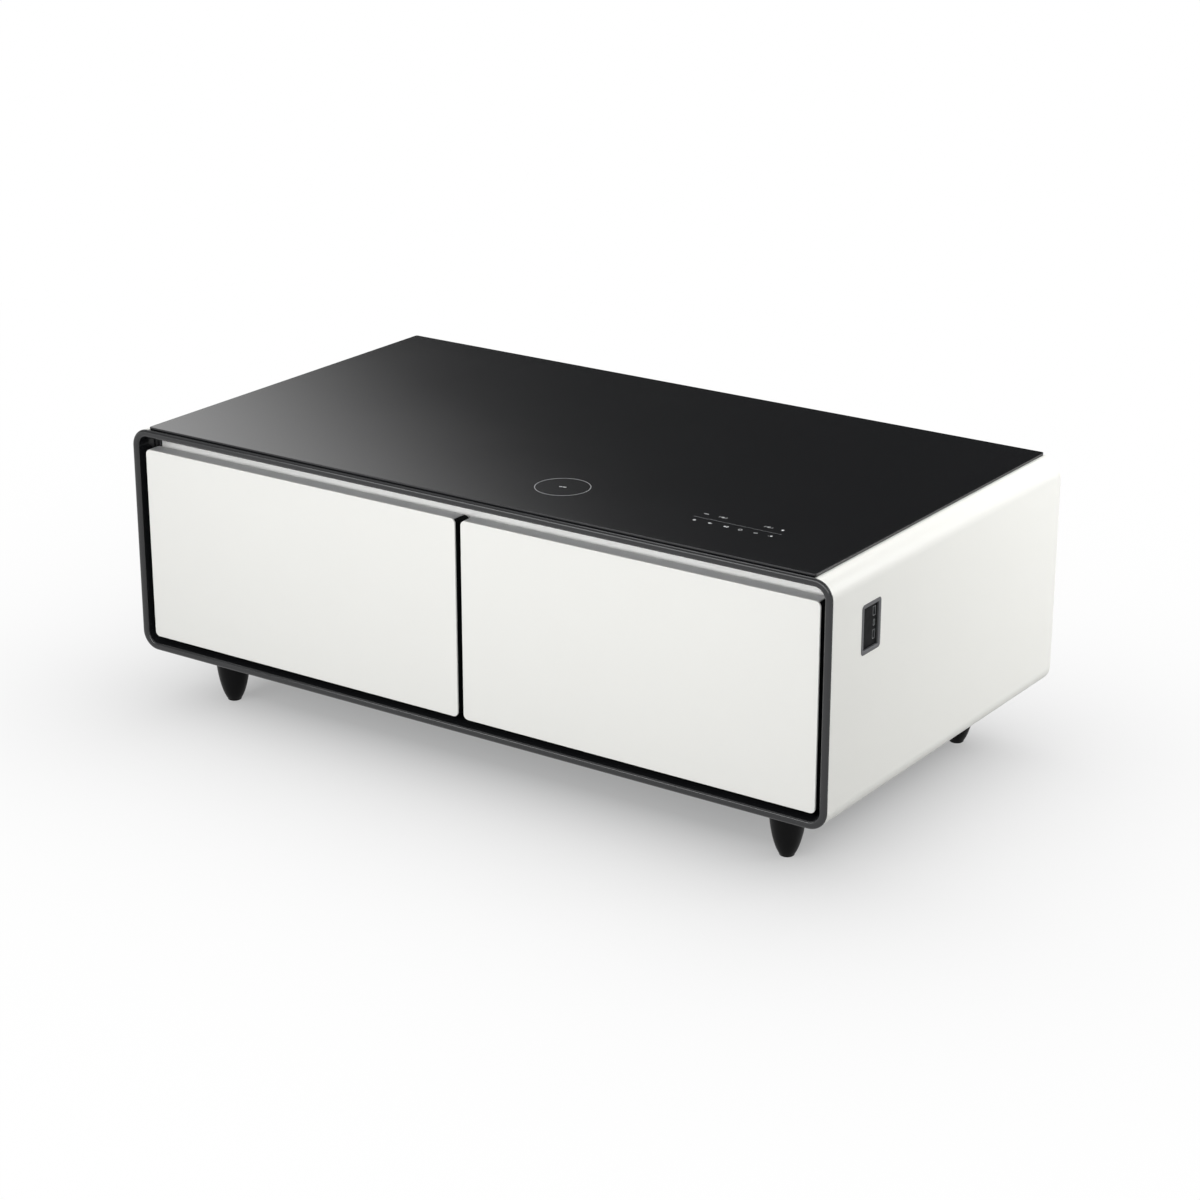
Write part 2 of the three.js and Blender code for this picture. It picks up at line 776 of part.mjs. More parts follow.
function evaporatorPocket(x) {
  const { x0, x1, y1, z0, z1 } = evaporatorPlace(x, seatGap);
  return box(x0, x1, 0, y1 + seatGap, z0, z1);
}

// Evaporator: a plate with a tube that runs to and fro on its back
function evaporator() {
  const { x0, x1, y0, y1, z0, z1 } = evaporatorPlace(0, 0);
  const plateBack = y0 + evaporatorThickness;
  const plate = box(x0, x1, y0, plateBack, z0, z1);
  const pitch = (z1 - z0) / evaporatorRuns;
  const runX = x1 - pitch;
  const runs = [];
  for (let i = 0; i < evaporatorRuns; i += 1) {
    const z = z0 + (i + 1 / 2) * pitch;
    const half = evaporatorTube / 2;
    runs.push(box(-runX, runX, plateBack - fuseDepth, y1, z - half, z + half));
    if (i === 0) continue;
    const x = i % 2 ? runX : -runX;
    runs.push(box(x - half, x + half, plateBack - fuseDepth, y1, z - pitch - half, z + half));
  }
  return join(plate, ...runs);
}

// Liner of one compartment: a moulded tub with a flange at its mouth
function liner() {
  const inRound = { width: linerRound, depth: linerRound, steps: coarseSteps };
  const outRound = { width: linerRound + linerWall, depth: linerRound + linerWall, steps: coarseSteps };
  const outBack = compartmentBackY + linerWall;
  const outside = compartment(0, linerWall, frontY - cutOverrun, outBack, outRound);
  const flange = compartment(0, linerWall + linerFlange, linerFrontY, linerFrontY + linerWall);
  const ahead = box(-tableWidth, tableWidth, frontY - tableDepth, linerFrontY, 0, caseTop);
  const inside = compartment(0, 0, frontY - cutOverrun, compartmentBackY, inRound);
  return cut(join(outside, flange), ahead, inside);
}

// Drawer head, seen from the front: its outline set in by a margin
function headOutline(inset) {
  const half = headWidth / 2 - inset;
  return roundedRectangle(-half, headBottom + inset, half, headTop - inset, headRadius - inset);
}

function drawerPanel() {
  const rounding = { width: facePlateRound, depth: facePlateRound, steps: coarseSteps };
  const back = headFrontY + facePlate + cutOverrun;
  const whole = alongY(headOutline(0), headFrontY, back, fineSteps, rounding);
  const behind = box(-headWidth, headWidth, headFrontY + facePlate, backY, 0, caseTop);
  return cut(whole, behind);
}

// Side profile shared by the core and the handle: flat front, large round at the top of its back
function headSection(zLow, bottomRound) {
  const top = headTop - coreInset;
  const shape = new THREE.Shape();
  shape.moveTo(coreFrontY, zLow);
  shape.lineTo(headBackY - bottomRound, zLow);
  if (bottomRound) shape.absarc(headBackY - bottomRound, zLow + bottomRound, bottomRound, -Math.PI / 2, 0, false);
  shape.lineTo(headBackY, top - handleRound);
  shape.absarc(headBackY - handleRound, top - handleRound, handleRound, 0, Math.PI / 2, false);
  shape.lineTo(coreFrontY, top);
  return shape;
}

// Insulated core: black moulding with an end cheek at each end of the handle and a tongue inside it
function drawerCore() {
  const half = headWidth / 2 - coreInset;
  const outline = alongY(headOutline(coreInset), coreFrontY, headBackY, fineSteps);
  const profile = alongX(headSection(headBottom + coreInset, coreBottomRound), -half, half);
  const handleLow = headTop - coreInset - handleHeight - seatGap;
  const recessX = half - coreCheek;
  const recess = box(-recessX, recessX, frontY, backY, handleLow, caseTop);
  const tongueX = recessX - seatGap;
  const tongueFront = coreFrontY + handleWall + seatGap;
  const tongueTop = headTop - coreInset - handleWall - seatGap;
  const tongueBack = headBackY - handleRound;
  const tongue = box(-tongueX, tongueX, tongueFront, tongueBack, handleLow - fuseDepth, tongueTop);
  return join(cut(outline.intersect(profile), recess), tongue);
}

// Handle: aluminium section that covers the head's top and its round back edge
function drawerHandle() {
  const end = headWidth / 2 - coreInset - coreCheek - seatGap;
  const top = headTop - coreInset;
  const low = top - handleHeight;
  const innerRadius = handleRound - handleWall;
  const shape = headSection(low, 0);
  const inside = new THREE.Shape();
  inside.moveTo(coreFrontY + handleWall, low - cutOverrun);
  inside.lineTo(headBackY - handleWall, low - cutOverrun);
  inside.lineTo(headBackY - handleWall, top - handleRound);
  inside.absarc(headBackY - handleRound, top - handleRound, innerRadius, 0, Math.PI / 2, false);
  inside.lineTo(coreFrontY + handleWall, top - handleWall);
  return cut(alongX(shape, -end, end), alongX(inside, -end - cutOverrun, end + cutOverrun));
}

// Magnetic gasket: two lips and a narrow waist between them
function drawerGasket() {
  const ring = (inset, yFront, yBack) => {
    const outer = gasketHalfWidth - inset;
    const inner = gasketHalfWidth - gasketWidth + inset;
    const radius = openingRadius + landingLap;
    const hole = roundedRectangle(
      -inner, gasketBottom + gasketWidth - inset, inner, gasketTop - gasketWidth + inset, radius - inset,
    );
    const outline = roundedRectangle(
      -outer, gasketBottom + inset, outer, gasketTop - inset, radius + gasketWidth - inset,
    );
    return alongY(withHole(outline, hole), yFront, yBack, coarseSteps);
  };
  const front = ring(0, gasketFrontY, gasketFrontY + gasketLipDepth);
  const waist = ring(gasketWaist, gasketFrontY + gasketLipDepth - fuseDepth, gasketBackY - fuseDepth);
  const back = ring(0, gasketBackY - gasketLipDepth, gasketBackY);
  return join(front, waist, back);
}

// Bin: a drafted tub whose sides step out on a ledge that rests on the slides' shelves
function drawerBin() {
  const front = headBackY + binClearFront + bracketThickness;
  const back = compartmentBackY - binClearFront - slideRearInset;
  const floor = openingBottom + binClearBelow;
  const ledge = slideMemberTop() + seatGap;
  const rim = openingTop - binClearAbove;
  const wide = openingHalfWidth - seatGap - slideThickness - seatGap * 2;
  const narrow = wide - shelfWidth - seatGap;
  const level = (z, x, inset) => (
    { z, x: x - inset, y0: front + inset, y1: back - inset, radius: binRadius - inset }
  );
  const tub = (...levels) => lofted(levels, cornerSteps);
  const lower = tub(level(floor, narrow - binDraft, 0), level(ledge + fuseDepth, narrow, 0));
  const upper = tub(level(ledge, wide - binDraft / 2, 0), level(rim, wide, 0));
  const lip = tub(level(rim - binRimThickness, wide + binRim, 0), level(rim, wide + binRim, 0));
  const lowHollow = tub(
    level(floor + binWall, narrow - binDraft, binWall),
    level(ledge + binWall + fuseDepth, narrow, binWall),
  );
  const highHollow = tub(
    level(ledge + binWall, wide - binDraft / 2, binWall),
    level(rim + cutOverrun, wide, binWall),
  );
  const ribs = [];
  const pitch = 2 * (narrow - binRadius) / (binRibCount - 1);
  for (let i = 0; i < binRibCount; i += 1) {
    const x = -narrow + binRadius + i * pitch - binRibWidth / 2;
    const low = floor + binWall - fuseDepth;
    const y0 = front + binRadius;
    ribs.push(box(x, x + binRibWidth, y0, back - binRadius, low, floor + binWall + binRibHeight));
  }
  return join(cut(join(lower, upper, lip), lowHollow, highHollow), ...ribs);
}

// Telescopic slide on the left wall of a compartment: three nested channels
const slideX = -openingHalfWidth + seatGap;
const middleHalf = slideHeight / 2 - slideWall - slideGap;
const drawerHalf = middleHalf - slideWall - slideGap;
const middleX = slideX + slideWall + slideGap;
const drawerMemberX = middleX + slideWall + slideGap;
const slideEndX = slideX + slideThickness;

function slideMemberTop() {
  return slideZ + drawerHalf;
}

// A channel open to the right: its web at x0, its flanges out to x1
function channelShape(x0, x1, half) {
  return polygon([
    [x0, slideZ - half], [x1, slideZ - half], [x1, slideZ - half + slideWall],
    [x0 + slideWall, slideZ - half + slideWall], [x0 + slideWall, slideZ + half - slideWall],
    [x1, slideZ + half - slideWall], [x1, slideZ + half], [x0, slideZ + half],
  ]);
}

function slideCabinetMember() {
  const shape = channelShape(slideX, slideEndX - slideWall - slideGap, slideHeight / 2);
  return alongY(shape, slideFrontY, slideBackY);
}

function slideMiddleMember() {
  return alongY(channelShape(middleX, slideEndX - slideWall - slideGap, middleHalf), slideFrontY, slideBackY);
}

// The drawer member is open to the left, carries the bin on a shelf and is bolted to the core in front
function slideDrawerMember() {
  const low = slideZ - drawerHalf;
  const high = slideZ + drawerHalf;
  const web = slideEndX - slideWall;
  const shape = polygon([
    [drawerMemberX, low], [slideEndX, low], [slideEndX, high - slideWall],
    [slideEndX + shelfWidth, high - slideWall], [slideEndX + shelfWidth, high], [drawerMemberX, high],
    [drawerMemberX, high - slideWall], [web, high - slideWall], [web, low + slideWall],
    [drawerMemberX, low + slideWall],
  ]);
  const front = headBackY + seatGap;
  const rail = alongY(shape, front + bracketThickness / 2, slideBackY);
  const end = slideEndX + shelfWidth - slideWall;
  const bracket = box(
    end - bracketWidth, end, front, front + bracketThickness, low + slideWall / 2, high - slideWall / 2,
  );
  return join(rail, bracket);
}

// Leg: a round peg whose side swells on a quarter ellipse up to its top, with a stud on it
function leg() {
  const top = panBottom - seatGap - legPlateThickness - seatGap;
  const reach = top / Math.sqrt(1 - (legFootRadius / legTopRadius) ** 2);
  const points = [new THREE.Vector2(0, 0)];
  for (let i = 0; i <= legRings; i += 1) {
    const z = top * (i / legRings) ** 2;
    points.push(new THREE.Vector2(legTopRadius * Math.sqrt(1 - ((top - z) / reach) ** 2), z));
  }
  points.push(new THREE.Vector2(legStudRadius, top));
  points.push(new THREE.Vector2(legStudRadius, top + legPlateThickness));
  points.push(new THREE.Vector2(0, top + legPlateThickness));
  const geometry = new THREE.LatheGeometry(points, legSteps);
  return solidFrom(geometry.rotateX(Math.PI / 2));
}

// An upright hole whose flats, not its corners, keep the radius
function boltHole(x, y, radius, sides) {
  return post(x, y, radius / Math.cos(Math.PI / sides), 0, caseTop, sides);
}

function legPlate() {
  const half = legPlateSize / 2;
  const top = panBottom - seatGap;
  const low = top - legPlateThickness;
  const outline = roundedRectangle(-half, -half, half, half, legPlateRadius);
  const plate = alongZ(outline, low, top, coarseSteps);
  const holes = [boltHole(0, 0, legStudRadius + seatGap, studHoleSides)];
  const at = half - legPlateHoleInset;
  for (const [x, y] of [[-at, -at], [at, -at], [-at, at], [at, at]]) {
    holes.push(boltHole(x, y, screwHoleRadius, boltSides));
  }
  return cut(plate, ...holes);
}

// Wireless charging module: a disc with a ring-shaped recess for the coil
function chargingModule() {
  const top = deckTop;
  const low = top - chargerThickness;
  const disc = post(0, 0, chargerRadius, low, top, legSteps);
  const ring = cut(
    post(0, 0, coilOuterRadius, top - coilRecess, top + cutOverrun, legSteps),
    post(0, 0, coilInnerRadius, low, top + 2 * cutOverrun, legSteps),
  );
  return cut(disc, ring);
}

// Touch board: a board under the glass with its chips and plug below it
function touchBoard() {
  const top = deckTop;
  const low = top - boardThickness;
  const board = box(-touchBoardWidth / 2, touchBoardWidth / 2, -touchBoardDepth / 2, touchBoardDepth / 2, low, top);
  const chips = [];
  const pitch = touchBoardWidth / (touchKeyCount + 1);
  for (let i = 1; i <= touchKeyCount; i += 1) {
    const x = -touchBoardWidth / 2 + i * pitch;
    const half = touchChipSize / 2;
    chips.push(box(x - half, x + half, -half, half, low - touchPartHeight, low + fuseDepth));
  }
  return join(board, ...chips);
}

// Places along the machine room, from the condenser on
function condenserX0() {
  return halfWidth * condenserStartShare;
}

function shroudX0() {
  return condenserX0() + condenserThickness + airGap;
}

function compressorX() {
  return shroudX0() + shroudDepth + compressorGap + canRadius * canStretchShare;
}

// Condenser: fins across rows of tube, open to the air along X, with bends at both ends
function condenser() {
  const x0 = condenserX0();
  const x1 = x0 + condenserThickness;
  const y0 = machineRoomY - condenserWidth / 2;
  const low = machineFloor;
  const rowPitch = condenserHeight / tubeRows;
  const finPitch = (condenserWidth - finThickness) / (finCount - 1);
  const windows = [];
  for (let row = 0; row < tubeRows; row += 1) {
    const z0 = low + row * rowPitch + tubeRadius;
    const z1 = low + (row + 1) * rowPitch - tubeRadius;
    for (let i = 0; i < finCount - 1; i += 1) {
      const y = y0 + finThickness + i * finPitch;
      const y1 = y + finPitch - finThickness;
      windows.push(box(x0 - cutOverrun, x1 + cutOverrun, y, y1, z0, z1));
    }
  }
  const pack = box(x0, x1, y0, y0 + condenserWidth, low, low + condenserHeight);
  const bends = [];
  for (let row = 1; row < tubeRows; row += 1) {
    const y = row % 2 ? y0 + condenserWidth : y0;
    bends.push(returnBend((x0 + x1) / 2, y, low + row * rowPitch, rowPitch / 2 - tubeRadius, row % 2 ? 1 : -1));
  }
  return join(cut(pack, ...windows), ...bends);
}

// A half-ring of tube in the Y and Z plane that joins two rows
function returnBend(x, y, z, radius, side) {
  const points = [];
  for (let i = 0; i <= tubeSides; i += 1) {
    const angle = -Math.PI / 2 + Math.PI * i / tubeSides;
    points.push([x, y + side * (Math.cos(angle) * radius - fuseDepth), z + Math.sin(angle) * radius]);
  }
  return tubeAlong(points, tubeRadius, tubeSides, 1 / 2);
}

// Fan wheel, turning on an axis along X: a hub and twisted blades
function fanWheel() {
  const hub = barAlongX(-hubLength / 2, hubLength / 2, 0, 0, hubRadius);
  const blades = [];
  for (let i = 0; i < bladeCount; i += 1) blades.push(fanBlade(2 * Math.PI * i / bladeCount));
  return join(hub, ...blades);
}

// One blade: a thin section that grows in chord and flattens in pitch from its root to its tip
function fanBlade(turn) {
  const stations = [0, 1 / 3, 2 / 3, 1];
  const root = hubRadius - bladeThickness * 2;
  return skinned(stations.map((share) => {
    const radius = root + (fanRadius - root) * share;
    const chord = bladeRootChord + (bladeTipChord - bladeRootChord) * share;
    const pitch = Math.PI / 4 - share * Math.PI / 9;
    const corners = [[-1, -1], [1, -1], [1, 1], [-1, 1]];
    return corners.map(([along, across]) => {
      const s = along * chord / 2;
      const t = across * bladeThickness / 2;
      const x = s * Math.sin(pitch) + t * Math.cos(pitch);
      const angle = turn + (s * Math.cos(pitch) - t * Math.sin(pitch)) / radius;
      return [x, radius * Math.cos(angle), radius * Math.sin(angle)];
    });
  }));
}

function fanZ() {
  return machineFloor + shroudSize / 2;
}

// Shroud: a square duct with the motor in its middle on four struts
function fanShroud() {
  const x0 = shroudX0();
  const x1 = x0 + shroudDepth;
  const half = shroudSize / 2;
  const z = fanZ();
  const outline = roundedRectangle(machineRoomY - half, z - half, machineRoomY + half, z + half, shroudCornerRadius);
  const duct = barAlongX(x0 - cutOverrun, x1 + cutOverrun, machineRoomY, z, fanRadius + fanDuctGap, legSteps);
  const body = cut(alongX(outline, x0, x1, fineSteps), duct);
  const motor = barAlongX(fanX() + hubLength / 2 + slideGap, x1, machineRoomY, z, motorRadius);
  const reach = fanRadius + fanDuctGap + fuseDepth;
  const strutX = x1 - strutDepth;
  const w = strutWidth / 2;
  const level = box(strutX, x1, machineRoomY - reach, machineRoomY + reach, z - w, z + w);
  const upright = box(strutX, x1, machineRoomY - w, machineRoomY + w, z - reach, z + reach);
  return join(body, motor, level, upright);
}

function fanX() {
  return shroudX0() + shroudWall + hubLength / 2;
}

// Compressor: a domed oval can with its weld flange, foot plate on rubber feet, stubs and terminals
function compressor() {
  const low = canFootLift + footPlateThickness;
  const profile = canProfile(low);
  const can = solidFrom(
    new THREE.LatheGeometry(profile, roundSteps).rotateX(Math.PI / 2).scale(canStretchShare, 1, 1),
  );
  const halfX = canRadius * canStretchShare + footPlateOverhang / 3;
  const halfY = canRadius - footPlateOverhang / 3;
  const plateShape = roundedRectangle(-halfX, -halfY, halfX, halfY, grommetRadius + footPlateThickness);
  const plate = alongZ(plateShape, canFootLift, canFootLift + footPlateThickness + fuseDepth, 2);
  const feet = [];
  for (const [sx, sy] of [[-1, -1], [1, -1], [-1, 1], [1, 1]]) {
    const x = sx * (halfX - grommetRadius - footPlateThickness);
    const y = sy * (halfY - grommetRadius - footPlateThickness);
    feet.push(post(x, y, grommetRadius, 0, canFootLift + fuseDepth, tubeSides * 2));
  }
  const stubZ = low + canHeight * stubHeightShare;
  const stubs = [-1, 1].map((side) => (
    post(side * stubSpread, 0, stubRadius, stubZ, stubTop(), tubeSides)
  ));
  const terminalZ = low + canHeight / 3;
  const terminalY = -canRadius - terminalDepth / 3;
  const terminals = box(
    -terminalWidth / 2, terminalWidth / 2, terminalY, terminalY + terminalDepth * 2,
    terminalZ, terminalZ + terminalHeight,
  );
  return join(can, plate, ...feet, ...stubs, terminals);
}

const stubHeightShare = 0.7;
const domeShares = [[0, 0], [0.55, 0.02], [0.86, 0.1], [1, 0.26], [1, 0.52]];
const upperDomeShares = [[0.98, 0.56], [0.97, 0.78], [0.84, 0.91], [0.52, 0.985], [0, 1]];

function canProfile(low) {
  const at = ([radiusShare, heightShare]) => (
    new THREE.Vector2(radiusShare * canRadius, low + heightShare * canHeight)
  );
  const seam = low + domeShares[domeShares.length - 1][1] * canHeight;
  return [
    ...domeShares.map(at),
    new THREE.Vector2(canRadius + canFlange, seam),
    new THREE.Vector2(canRadius + canFlange, seam + canFlangeHeight),
    ...upperDomeShares.map(at),
  ];
}

function stubTop() {
  return canFootLift + footPlateThickness + canHeight + stubLength;
}

// Drip tray above the compressor, between the two stubs' sides and open at the top
function dripTray() {
  const low = machineFloor + canFootLift + footPlateThickness + canHeight + seatGap;
  const y0 = -trayDepth / 2;
  const level = (z, inset, grow) => ({
    z, x: trayWidth / 2 + grow - inset, y0: y0 - grow + inset, y1: -y0 + grow - inset, radius: trayRadius - inset,
  });
  const outside = lofted([level(low, 0, 0), level(low + trayHeight, 0, trayWall)], fineSteps);
  const hollow = lofted([
    level(low + trayWall, trayWall, 0), level(low + trayHeight + cutOverrun, trayWall, trayWall),
  ], fineSteps);
  const clearance = stubRadius + slideGap;
  const holes = [-1, 1].map((side) => (
    post(side * stubSpread, 0, clearance, 0, caseTop, tubeSides)
  ));
  const collars = [-1, 1].map((side) => (
    post(side * stubSpread, 0, clearance + trayWall, low, low + trayHeight, tubeSides)
  ));
  return cut(join(cut(outside, hollow), ...collars), ...holes);
}

// Discharge line: from the right stub up and over the tray, across to the condenser's upper bend
function dischargeLine() {
  const x0 = compressorX() + stubSpread;
  const start = machineFloor + stubTop() + seatGap;
  const x1 = condenserX0() + condenserThickness / 2;
  const end = machineFloor + condenserHeight + seatGap;
  const high = start + lineRise;
  const bend = lineRise / 2;
  return tubeAlong([
    [x0, machineRoomY, start], [x0, machineRoomY, start + bend], [x0 - bend, machineRoomY, high],
    [(x0 + x1) / 2, machineRoomY, high], [x1 + bend, machineRoomY, high],
    [x1, machineRoomY, end + linePortLift], [x1, machineRoomY, end],
  ], lineRadius, dischargeSteps, 1 / 2);
}

// Suction line: from the insulation's back down to the left stub
function suctionLine() {
  const x = compressorX() - stubSpread;
  const start = machineFloor + stubTop() + seatGap;
  const high = start + lineRise / 2;
  const wall = blockBackY + seatGap;
  const bend = lineRise / 2;
  return tubeAlong([
    [x, wall, high + bend / 2], [x, wall + bend, high + bend / 2], [x, machineRoomY - bend / 2, high + bend / 4],
    [x, machineRoomY, start + bend / 2], [x, machineRoomY, start],
  ], lineRadius, suctionSteps, 1 / 2);
}

// Power supply: a closed metal box with slots in its lid
function powerSupply() {
  const x0 = -halfWidth * supplyStartShare;
  const y0 = machineRoomY - supplyDepth / 2;
  const low = machineFloor;
  const shell = box(x0, x0 + supplyWidth, y0, y0 + supplyDepth, low, low + supplyHeight);
  const inside = box(
    x0 + supplyWall, x0 + supplyWidth - supplyWall, y0 + supplyWall, y0 + supplyDepth - supplyWall,
    low + supplyWall, low + supplyHeight - supplyWall,
  );
  const slots = [];
  const pitch = supplyWidth / (supplySlotCount + 1);
  for (let i = 1; i <= supplySlotCount; i += 1) {
    const x = x0 + i * pitch - supplyWall;
    const y1 = y0 + supplyDepth - supplyDepth / 4;
    slots.push(box(x, x + 2 * supplyWall, y0 + supplyDepth / 4, y1, low + supplyWall * 2, caseTop));
  }
  return cut(shell, inside, ...slots);
}

// Control board: on four posts, with a relay, a pair of capacitors and a plug strip
function controlBoard() {
  const x0 = -halfWidth * supplyStartShare + supplyWidth + boardGap;
  const y0 = machineRoomY - boardDepth / 2;
  const low = machineFloor + boardPostHeight;
  const top = low + boardThickness;
  const parts = [box(x0, x0 + boardWidth, y0, y0 + boardDepth, low, top)];
  for (const [sx, sy] of [[0, 0], [1, 0], [0, 1], [1, 1]]) {
    const x = x0 + boardPostInset + sx * (boardWidth - 2 * boardPostInset);
    const y = y0 + boardPostInset + sy * (boardDepth - 2 * boardPostInset);
    parts.push(post(x, y, boardPostRadius, machineFloor, low + fuseDepth, tubeSides));
  }
  const relayX = x0 + boardWidth / 4;
  const rowY = y0 + boardDepth / 4;
  parts.push(box(relayX, relayX + relaySize, rowY, rowY + relaySize, top - fuseDepth, top + relaySize));
  const plugX = x0 + boardWidth / 5;
  const plugY = y0 + boardDepth - relaySize;
  parts.push(box(plugX, plugX + boardWidth / 2, plugY, plugY + relaySize / 2, top - fuseDepth, top + relaySize / 2));
  for (let i = 0; i < 2; i += 1) {
    const x = x0 + boardWidth * 2 / 3 + i * capacitorRadius * 3;
    parts.push(post(x, rowY + capacitorRadius, capacitorRadius, top - fuseDepth, top + capacitorHeight, tubeSides * 2));
  }
  return join(...parts);
}

// Mains inlet in the rear cover: flange outside, recess with three flat pins
function mainsInlet() {
  const { x, z } = inletPlace();
  const flangeX = inletWidth / 2 + inletFlange;
  const halfX = inletWidth / 2;
  const halfZ = inletHeight / 2;
  const flangeBack = coverBackY + seatGap;
  const face = flangeBack + inletFlangeThickness;
  const flangeShape = roundedRectangle(
    x - flangeX, z - halfZ - seatGap * 2, x + flangeX, z + halfZ + seatGap * 2, inletCornerCut,
  );
  const flange = alongY(flangeShape, flangeBack, face, 2);
  const body = box(x - halfX, x + halfX, face - inletDepth, face - fuseDepth, z - halfZ, z + halfZ);
  const rx = inletRecessWidth / 2;
  const rz = inletRecessHeight / 2;
  const recessShape = polygon([
    [x - rx, z - rz], [x + rx, z - rz], [x + rx, z + rz - inletCornerCut], [x + rx - inletCornerCut, z + rz],
    [x - rx + inletCornerCut, z + rz], [x - rx, z + rz - inletCornerCut],
  ]);
  const floor = face - inletRecessDepth;
  const recess = alongY(recessShape, floor, face + cutOverrun);
  const pins = [[-inletPinPitch, -inletPinDrop], [0, inletPinDrop], [inletPinPitch, -inletPinDrop]].map(([dx, dz]) => (
    box(
      x + dx - inletPinWidth / 2, x + dx + inletPinWidth / 2, floor - fuseDepth, floor + inletPinLength,
      z + dz - inletPinHeight / 2, z + dz + inletPinHeight / 2,
    )
  ));
  return join(cut(join(flange, body), recess), ...pins);
}

// Bezel of the socket plate: a bevelled ring on the panel with a collar through its cut-out
function socketBezelRing() {
  const rounding = { width: socketChamfer, depth: socketProud - seatGap, steps: 1 };
  const back = panelX - panelWall - socketLip;
  const inner = alongX(socketOutline(socketBezel), back - cutOverrun, halfWidth + cutOverrun, 1);
  const thick = alongX(
    socketOutline(0), panelX - socketLip, panelX + socketProud, fineSteps, rounding,
  );
  const proud = cut(thick, box(0, panelX + seatGap / 2, frontY, backY, 0, caseTop));
  const collar = alongX(socketOutline(socketBezel - socketLip + seatGap), back, panelX + socketProud / 2, fineSteps);
  return cut(join(proud, collar), inner);
}

// Insert behind the bezel: a dark box with a recessed face and three ports
function socketPorts() {
  const faceX = panelX - socketRecess;
  const back = halfWidth - insertDepth - innerInset;
  const body = alongX(socketOutline(socketBezel + seatGap), back, faceX, 1);
  const collarBack = panelX - panelWall - socketLip;
  const shoulder = alongX(
    socketOutline(socketBezel - socketLip + seatGap), back + insertWall, collarBack - seatGap,
  );
  const y = socketY + portSetBack;
  const middle = socketZ + portRise;
  const larger = [middle + portPitch, middle - portPitch];
  const cuts = larger.map((z) => portCut(y, z, portWidth, portHeight, faceX));
  const small = portCut(y, middle, smallPortWidth, smallPortHeight, faceX);
  const tongueY = y - portWidth / 2 + portWall;
  const tongueHalf = portHeight / 2 - portWall;
  const tongues = larger.map((z) => (
    box(
      faceX - portDepth - fuseDepth, faceX - tongueSetback, tongueY, tongueY + tongueThickness,
      z - tongueHalf, z + tongueHalf,
    )
  ));
  return join(cut(join(body, shoulder), ...cuts, small), ...tongues);
}

function portCut(y, z, width, height, faceX) {
  return box(faceX - portDepth, faceX + cutOverrun, y - width / 2, y + width / 2, z - height / 2, z + height / 2);
}

// The table
const table = new THREE.Group();

function placed(group, name, solid, material, x = 0, y = 0, z = 0) {
  const mesh = pieceOf(name, solid, material);
  mesh.position.set(x, y, z);
  group.add(mesh);
  return mesh;
}

function mirrored(group) {
  const side = new THREE.Group();
  side.scale.x = -1;
  group.add(side);
  return side;
}

function addBody() {
  const left = mirrored(table);
  const panel = bodyPanel();
  const cutOut = alongX(socketOutline(socketBezel - socketLip), 0, tableWidth);
  placed(table, 'side_panel_right', cut(panel, cutOut), whitePaint);
  placed(left, 'side_panel_left', panel, whitePaint);
  placed(table, 'front_frame', frontFrame(), blackPlastic);
  placed(table, 'channel_strip', channelStrip(), brushedAluminium);
  placed(table, 'channel_cheek_right', channelCheek(), blackPlastic);
  placed(left, 'channel_cheek_left', channelCheek(), blackPlastic);
  placed(table, 'top_deck', topDeck(), deckBoard);
  placed(table, 'glass_top', glassTop(), blackGlass);
  placed(table, 'base_pan', basePan(), galvanised);
  placed(table, 'rear_cover', rearCover(), whitePaint);
  placed(table, 'insulation_block', insulationBlock(), foam);
}

function addLegs() {
  const x = halfWidth - legInsetX;
  const y = tableDepth / 2 - legInsetY;
  const corners = { front_left: [-x, -y], front_right: [x, -y], back_left: [-x, y], back_right: [x, y] };
  for (const [corner, [legX, legY]] of Object.entries(corners)) {
    placed(table, `leg_${corner}`, leg(), blackLeg, legX, legY);
    placed(table, `leg_plate_${corner}`, legPlate(), steel, legX, legY);
  }
}

function addCompartment(side, x) {
  placed(table, `liner_${side}`, liner(), linerPlastic, x);
  placed(table, `evaporator_${side}`, evaporator(), steel, x);
  const drawer = new THREE.Group();
  drawer.position.x = x;
  table.add(drawer);
  placed(drawer, `drawer_${side}_panel`, drawerPanel(), whiteFace);
  placed(drawer, `drawer_${side}_core`, drawerCore(), blackPlastic);
  placed(drawer, `drawer_${side}_handle`, drawerHandle(), greyAluminium);
  placed(drawer, `drawer_${side}_gasket`, drawerGasket(), rubber);
  placed(drawer, `drawer_${side}_bin`, drawerBin(), clearPlastic);
  const opposite = mirrored(drawer);
  for (const [wall, group] of [['left', drawer], ['right', opposite]]) {
    placed(group, `slide_${side}_${wall}_cabinet`, slideCabinetMember(), steel);
    placed(group, `slide_${side}_${wall}_middle`, slideMiddleMember(), steel);
    placed(group, `slide_${side}_${wall}_drawer`, slideDrawerMember(), steel);
  }
}

function addElectronics() {
  placed(table, 'charging_module', chargingModule(), copper, chargerX, chargerY);
  placed(table, 'touch_board', touchBoard(), greenBoard, touchBoardX, touchBoardY);
  placed(table, 'socket_bezel', socketBezelRing(), greyBezel);
  placed(table, 'socket_ports', socketPorts(), blackPlastic);
  placed(table, 'power_supply', powerSupply(), galvanised);
  placed(table, 'control_board', controlBoard(), greenBoard);
  placed(table, 'mains_inlet', mainsInlet(), blackPlastic);
}

